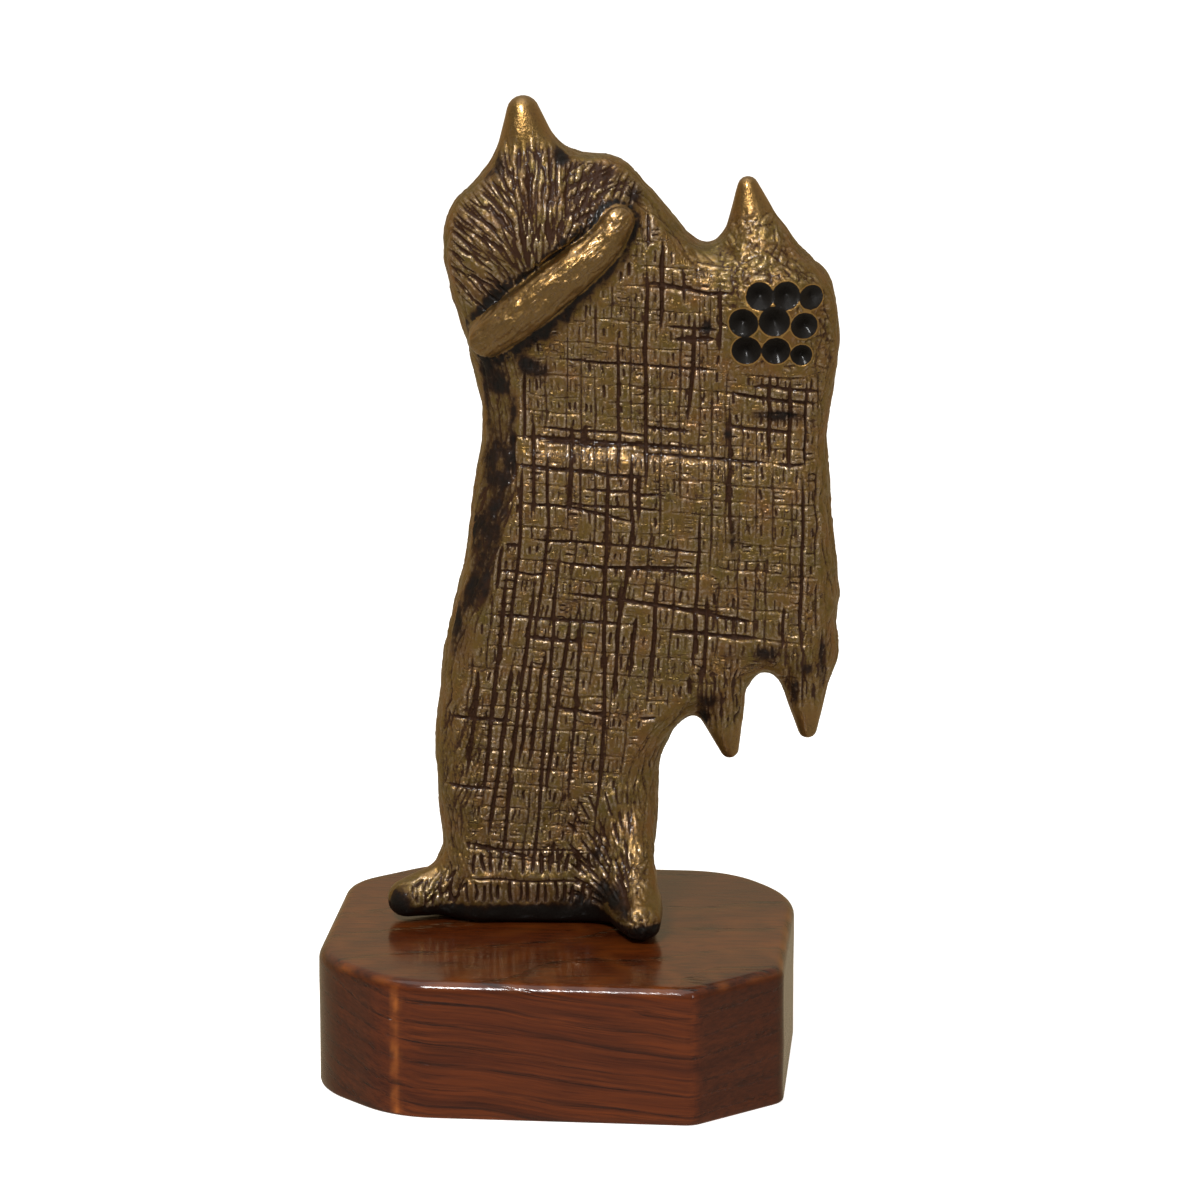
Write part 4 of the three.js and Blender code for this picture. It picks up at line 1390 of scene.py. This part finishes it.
def build_block(settings):
    half_x, half_y = settings.width / MM / 2, settings.depth / MM / 2
    height = settings.height / MM
    rings = []
    for margin, h in block_levels(height, settings.arris / MM):
        plan = evened(block_plan(half_x, half_y, margin), PLACES_AROUND)
        rings.append(np.column_stack([plan, np.full(PLACES_AROUND, h)]))
    last = rings[-1]
    rings += [last * (share, share, 1) for share in TOP_RINGS]
    faces = []
    for r in range(len(rings) - 1):
        a = r * PLACES_AROUND + np.arange(PLACES_AROUND)
        b = r * PLACES_AROUND + (np.arange(PLACES_AROUND) + 1) % PLACES_AROUND
        faces.append(np.column_stack([a, b, b + PLACES_AROUND, a + PLACES_AROUND]))
    mesh = mesh_from("varnished_block", np.vstack(rings) * MM, np.vstack(faces))
    block = new_object("varnished_block", mesh)
    close_ends(mesh)
    # hand sanding leaves the faces very slightly uneven
    places = read_places(mesh) / MM
    x, y, z = places.T
    wave = 0.12 * np.sin(x / 17 + 1.3) * np.sin(z / 9 + x / 31) + 0.1 * np.sin(y / 13) * np.cos(z / 7)
    inward = np.abs(wave) * smoothstep(0.5, 3, z)
    places[:, 0] *= 1 - inward / half_x
    places[:, 1] *= 1 - inward / half_y
    mesh.vertices.foreach_set("co", (places * MM).astype(np.float32).ravel())
    put_attribute(mesh, "worn", worn_wood(x, y, z, half_x, half_y, height))
    normals = np.empty(len(mesh.vertices) * 3, np.float32)
    mesh.vertices.foreach_get("normal", normals)
    put_attribute(mesh, "end_grain", END_GRAIN_DARK * smoothstep(0.25, 0.85, np.abs(normals[::3])))
    return block


def close_ends(mesh):
    """Closes the open ring above and the one below."""
    form = bmesh.new()
    form.from_mesh(mesh)
    edges = [e for e in form.edges if e.is_boundary]
    bmesh.ops.holes_fill(form, edges=edges, sides=0)
    bmesh.ops.recalc_face_normals(form, faces=form.faces)
    form.to_mesh(mesh)
    form.free()
    mesh.update()


def worn_wood(x, y, z, half_x, half_y, height):
    """Rubbed places: the top arris and the upright corner left of the front."""
    from_top = height - z
    arris = np.exp(-(((from_top - 0.7) / 0.7) ** 2))
    patchy = 0.5 + 0.5 * np.sin(x * 0.55 + 1.7 * np.sin(y * 0.31 + x * 0.13))
    arris = arris * np.clip(patchy - 0.35, 0, 1) * (y < half_y * 0.4)
    corner_x, corner_y = -half_x + CORNERS[-1][2], -half_y
    beside = np.hypot((x - corner_x - 0.6 - 0.25 * np.sin(z * 1.1)) / 0.75, (y - corner_y) / 1.6)
    broken = np.clip(0.55 + 0.5 * np.sin(z * 0.9 + 1) * np.sin(z * 0.37 + 2), 0.1, 1)
    upright = np.exp(-(beside**2)) * (z > 0.5) * broken
    return np.clip(np.maximum(arris * 0.3, upright), 0, 1)


# What a user may change
def colour_property(name, description, default):
    return bpy.props.StringProperty(name=name, description=description, default=default)


class StatuetteBronze(bpy.types.PropertyGroup):
    scoring: bpy.props.FloatProperty(
        name="Scoring", description="How deep the tool marks are cut, as a share of the real depth",
        default=1.0, min=0.2, max=1.5, subtype="FACTOR",
    )
    metal: colour_property("Metal", "Planes of the body, sRGB hex", "#785d2e")
    olive: colour_property("Olive", "Greener clouds in the planes, sRGB hex", "#6d5a2a")
    warm: colour_property("Warm", "Redder clouds in the planes, sRGB hex", "#7f5a31")
    # also the colour of the painted highlights on the chest's fold and on the pit rims
    rubbed_and_highlight: colour_property("Rubbed metal", "Tips, roll and rims, sRGB hex", "#9c7843")
    # painted highlight: the pale crest colour stands for the highlights on the burrs as well as their rubbed
    # metal
    crest: colour_property("Crest", "Rubbed burrs beside the tool marks, sRGB hex", "#e6ccb0")
    brown: colour_property("Brown film", "Thin patina on the planes, sRGB hex", "#47301a")
    # also the brown of light painted shade, as on the left flank
    groove: colour_property("Groove", "Patina in the tool marks, sRGB hex", "#341c0a")
    # also the black of painted shade under the hem and between the toes, and of the sole
    black: colour_property("Black", "Thick patina in the hollows, sRGB hex", "#130f0b")


class StatuetteBlock(bpy.types.PropertyGroup):
    width: bpy.props.FloatProperty(
        name="Width", description="Across the front", default=BLOCK_HIGH.x - BLOCK_LOW.x,
        unit="LENGTH", subtype="DISTANCE",
    )
    depth: bpy.props.FloatProperty(
        name="Depth", description="From front to back", default=BLOCK_HIGH.y - BLOCK_LOW.y,
        unit="LENGTH", subtype="DISTANCE",
    )
    height: bpy.props.FloatProperty(
        name="Height", description="Thickness of the board", default=BLOCK_HIGH.z - BLOCK_LOW.z,
        unit="LENGTH", subtype="DISTANCE",
    )
    arris: bpy.props.FloatProperty(
        name="Arris", description="Rounding of the top edge", default=2.4 * MM,
        unit="LENGTH", subtype="DISTANCE",
    )
    stain: colour_property("Stain", "Red-brown stain, sRGB hex", "#491d07")
    light_grain: colour_property("Light grain", "Paler layers, sRGB hex", "#622b0a")
    dark_grain: colour_property("Dark grain", "Late wood and streaks, sRGB hex", "#2a1006")
    pore: colour_property("Pore", "Open pores, sRGB hex", "#180a05")
    worn: colour_property("Worn", "Rubbed-through arris, sRGB hex", "#c26c26")


class StatuetteStage(bpy.types.PropertyGroup):
    floor: colour_property("Floor", "Pale ground, sRGB hex", "#eeedea")
    floor_light: colour_property("Floor light", "Its lighter clouds, sRGB hex", "#f3f2f0")
    key_power: bpy.props.FloatProperty(
        name="Key light", description="Power of the overhead softbox", default=4.8, unit="POWER", min=0,
    )
    surround: bpy.props.FloatProperty(
        name="Surround", description="Strength of the pale room", default=1.0, min=0,
    )


# Operators
class STATUETTE_OT_figure(bpy.types.Operator):
    """Build the cast figure with its tool marks and patina"""

    bl_idname = "statuette.figure"
    bl_label = "Bronze Figure"

    def execute(self, context):
        settings = context.scene.statuette_bronze
        figure = build_figure(settings.scoring)
        thin_out(figure, FIGURE_TRIANGLES)
        figure.data.shade_smooth()
        figure.data.materials.append(patinated_cast_bronze(settings))
        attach(figure, "root")
        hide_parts("bronze_figure")
        return {"FINISHED"}


class STATUETTE_OT_block(bpy.types.Operator):
    """Build the varnished wooden block"""

    bl_idname = "statuette.block"
    bl_label = "Wooden Block"

    def execute(self, context):
        settings = context.scene.statuette_block
        block = build_block(settings)
        block.data.shade_smooth()
        block.data.materials.append(stained_lacquered_ash(settings))
        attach(block, "root")
        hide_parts("wooden_base")
        return {"FINISHED"}


# The photo's camera: to the right of the front, upwards, and in metres from what it looks at. The lens
# follows from the focal length in pixels of a photo 1200 pixels wide.
CAMERA_AZIMUTH = math.radians(5)
CAMERA_ELEVATION = math.radians(14)
CAMERA_DISTANCE = 1.0
CAMERA_TARGET = Vector((8.9, -2.4, 103.1)) * MM
CAMERA_SENSOR = 36
CAMERA_LENS = 4701 / 1200 * CAMERA_SENSOR


def add_softbox(name, place, target, size, power):
    light = bpy.data.lights.new(name, "AREA")
    light.shape = "RECTANGLE"
    light.size, light.size_y = size
    light.energy = power
    made = bpy.data.objects.new(name, light)
    made.location = place
    made.rotation_euler = (Vector(target) - Vector(place)).to_track_quat("-Z", "Y").to_euler()
    made.visible_camera = False
    bpy.context.scene.collection.objects.link(made)


def pale_room(strength):
    """Light from all round: grey in front, a little brighter and warmer behind."""
    world = bpy.data.worlds.new("pale_room")
    bpy.context.scene.world = world
    world.use_nodes = True
    tree = world.node_tree
    tree.nodes.clear()
    toward = add_node(tree, "TexCoord").outputs["Generated"]
    parts = add_node(tree, "SeparateXYZ", {"Vector": toward}).outputs
    upward = ramp(tree, parts["Z"], -0.5, 1.0)
    front = coloured(tree, upward, (0.0, "#959186"), (0.33, "#6f6b64"), (0.6, "#6c6a66"), (1, "#a9a9a6"))
    rear = coloured(tree, upward, (0.0, "#a3977f"), (0.45, "#b0956a"), (0.6, "#b7a98f"), (1, "#b4b4b0"))
    shade = mixed(tree, ramp(tree, parts["Y"], -0.35, 0.35), front, rear)
    light = add_node(tree, "Background", {"Color": shade, "Strength": strength})
    add_node(tree, "OutputWorld", {"Surface": light.outputs[0]})


# The softboxes, in metres: place, size, share of the key light's power
SOFTBOXES = {
    "overhead": ((-0.1, -0.1, 1.3), (1.2, 1.0), 1),
    "front": ((-0.2, -0.76, 0.95), (0.24, 0.14), 1.7),
    "front_right": ((0.6, -0.8, 0.6), (0.1, 0.2), 0.15),
}
SOFTBOX_AIM = (0.01, 0, 0.11)
FLOOR_HALF = 6.0


def add_camera(scene):
    camera_data = bpy.data.cameras.new("camera")
    camera_data.sensor_width = CAMERA_SENSOR
    camera_data.lens = CAMERA_LENS
    camera_data.clip_start, camera_data.clip_end = 0.05, 50
    camera = bpy.data.objects.new("camera", camera_data)
    back = Vector((
        math.sin(CAMERA_AZIMUTH) * math.cos(CAMERA_ELEVATION),
        -math.cos(CAMERA_AZIMUTH) * math.cos(CAMERA_ELEVATION),
        math.sin(CAMERA_ELEVATION),
    ))
    camera.location = CAMERA_TARGET + back * CAMERA_DISTANCE
    camera.rotation_euler = (-back).to_track_quat("-Z", "Y").to_euler()
    scene.collection.objects.link(camera)
    scene.camera = camera


class STATUETTE_OT_stage(bpy.types.Operator):
    """Set the pale floor, the soft studio light and the camera"""

    bl_idname = "statuette.stage"
    bl_label = "Stage"

    def execute(self, context):
        settings = context.scene.statuette_stage
        corners = np.array([(-1, -1, 0), (1, -1, 0), (1, 1, 0), (-1, 1, 0)]) * FLOOR_HALF
        floor = new_object("studio_floor", mesh_from("studio_floor", corners, np.array([[0, 1, 2, 3]])))
        floor.data.materials.append(painted_floor(settings))
        # the pale ground lights the object, and isn't mirrored in it
        floor.visible_glossy = False
        pale_room(settings.surround)
        for name, (place, size, share) in SOFTBOXES.items():
            add_softbox(name, place, SOFTBOX_AIM, size, settings.key_power * share)
        add_camera(context.scene)
        context.scene.view_settings.view_transform = "Standard"
        return {"FINISHED"}


class STATUETTE_PT_panel(bpy.types.Panel):
    """Lists the parts of the statuette with their settings"""

    bl_idname = "STATUETTE_PT_panel"
    bl_label = "Statuette"
    bl_space_type = "VIEW_3D"
    bl_region_type = "UI"
    bl_category = "Statuette"

    def draw(self, context):
        layout = self.layout
        for operator, group, _ in PARTS:
            box = layout.box()
            box.operator(operator)
            settings = getattr(context.scene, group)
            for name in settings.__annotations__:
                box.prop(settings, name)


# each operator with the name and the class of its settings
PARTS = [
    ("statuette.stage", "statuette_stage", StatuetteStage),
    ("statuette.block", "statuette_block", StatuetteBlock),
    ("statuette.figure", "statuette_bronze", StatuetteBronze),
]
CLASSES = [
    StatuetteBronze,
    StatuetteBlock,
    StatuetteStage,
    STATUETTE_OT_figure,
    STATUETTE_OT_block,
    STATUETTE_OT_stage,
    STATUETTE_PT_panel,
]


def register():
    for cls in CLASSES:
        bpy.utils.register_class(cls)
    for _, name, group in PARTS:
        setattr(bpy.types.Scene, name, bpy.props.PointerProperty(type=group))


def unregister():
    for _, name, _ in PARTS:
        delattr(bpy.types.Scene, name)
    for cls in reversed(CLASSES):
        bpy.utils.unregister_class(cls)


def main():
    register()
    bpy.ops.statuette.stage()
    bpy.ops.statuette.block()
    bpy.ops.statuette.figure()


if __name__ == "__main__":
    main()
